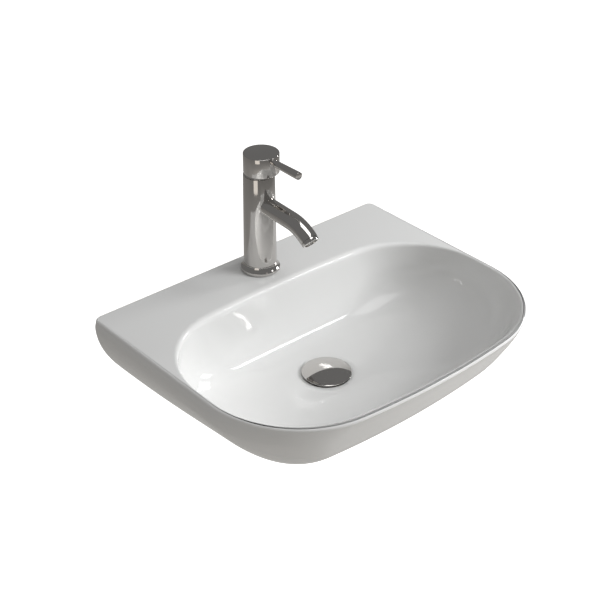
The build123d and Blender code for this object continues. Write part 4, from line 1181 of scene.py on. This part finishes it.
# %% Finishes for the CAD nodes
slots = {row["node"]: row["material_slot"] for row in frame["record"]["subparts"]}
for node, piece in frame["nodes"].items():
    piece.data.materials.clear()
    piece.data.materials.append(finishes[slots[node]])
print("CAD nodes given a finish:", len(slots))

# %% [markdown]
# The basin hangs on a wall that the photograph leaves out, so it hangs in the air over a floor as
# far below as a real one. World and floor are white where the camera sees them past the basin. In
# their light and in the chrome's mirror image they are a soft grey, so the glaze keeps its shading
# and the chrome stays dark, as in a room.

# %% Floor and world


def emission_seen_by(tree, kinds, strength):
    """A strength that counts only for the named kinds of ray."""
    ray = tree.nodes.new("ShaderNodeLightPath")
    seen = ray.outputs[kinds[0]]
    for kind in kinds[1:]:
        seen = maths(tree, "MAXIMUM", seen, ray.outputs[kind])
    return maths(tree, "MULTIPLY", seen, strength)


def flat_card(name, size, turn_to, material):
    """A rectangle that belongs to the stage."""
    shape = bmesh.new()
    bmesh.ops.create_grid(shape, x_segments=1, y_segments=1, size=0.5)
    shape.transform(turn_to @ Matrix.Diagonal((*size, 1, 1)))
    mesh = mesh_of(shape, name)
    mesh.materials.append(material)
    card = bpy.data.objects.new(name, mesh)
    bpy.context.scene.collection.objects.link(card)
    return card


white = (1, 1, 1, 1)
floor_height = deck - 0.85
floor_material, floor_tree, floor_shader = new_material("floor")
floor_facts = {"Base Color": (0.74, 0.72, 0.69, 1), "Roughness": 0.9, "Emission Color": white}
floor_facts["Emission Strength"] = emission_seen_by(floor_tree, ["Is Camera Ray"], 1.0)
feed(floor_tree, floor_shader, floor_facts)
flat_card("floor", (12, 12), Matrix.Translation((0, 0, floor_height)), floor_material)

in_mirrors, ambient = 0.18, 0.24
world = bpy.data.worlds.new("studio")
bpy.context.scene.world = world
world.use_nodes = True
sky = world.node_tree
seen = emission_seen_by(sky, ["Is Camera Ray", "Is Transmission Ray"], 1.0)
glossy = emission_seen_by(sky, ["Is Glossy Ray"], in_mirrors)
diffuse = emission_seen_by(sky, ["Is Diffuse Ray"], ambient)
strength = maths(sky, "MAXIMUM", maths(sky, "MAXIMUM", seen, glossy), diffuse)
feed(sky, sky.nodes["Background"], {"Strength": strength, "Color": white})

# %% [markdown]
# The key light is a large soft window to the right, in front and above. It makes the left wall of
# the bowl bright and the right wall grey. It isn't mirrored itself. A small pane near it is, which
# gives the sharp highlight in the bowl and on the chrome, as does a narrow window at the side. A
# weak lamp overhead softens the shadows, and a weak warm one lifts the basin's left side.

# %% Lamps


def soft_lamp(name, place_at, size, power, colour=(1, 1, 1)):
    """A rectangular area lamp aimed at the middle of the bowl."""
    data = bpy.data.lights.new(name, "AREA")
    data.shape = "RECTANGLE"
    data.energy = power
    data.size, data.size_y = size
    data.color = colour
    lamp = bpy.data.objects.new(name, data)
    bpy.context.scene.collection.objects.link(lamp)
    aim_turn = (bowl_middle - Vector(place_at)).to_track_quat("-Z", "Y").to_matrix().to_4x4()
    lamp.matrix_world = Matrix.Translation(place_at) @ aim_turn
    return lamp


bowl_middle = Vector((0, -0.2, 0.03))
window = soft_lamp("window", (1.08, -1.44, 0.92), (0.9, 0.9), 24, (0.98, 0.99, 1.0))
window.visible_glossy = False
soft_lamp("window_pane", (1.04, -1.30, 1.02), (0.14, 0.2), 1.6)
soft_lamp("side_window", (1.75, -0.4, 0.62), (0.3, 0.4), 8)
soft_lamp("overhead", (0.1, -0.5, 2.2), (1.2, 1.2), 10)
soft_lamp("left_fill", (-1.8, -1.0, 0.1), (1.0, 1.0), 2.5, (1.0, 0.94, 0.86))

# %% [markdown]
# Last, the view settings are plain, and the workshop collection is thrown away.

# %% Finish
bpy.context.scene.view_settings.view_transform = "Standard"
bpy.data.collections.remove(workshop)
bpy.context.view_layer.update()
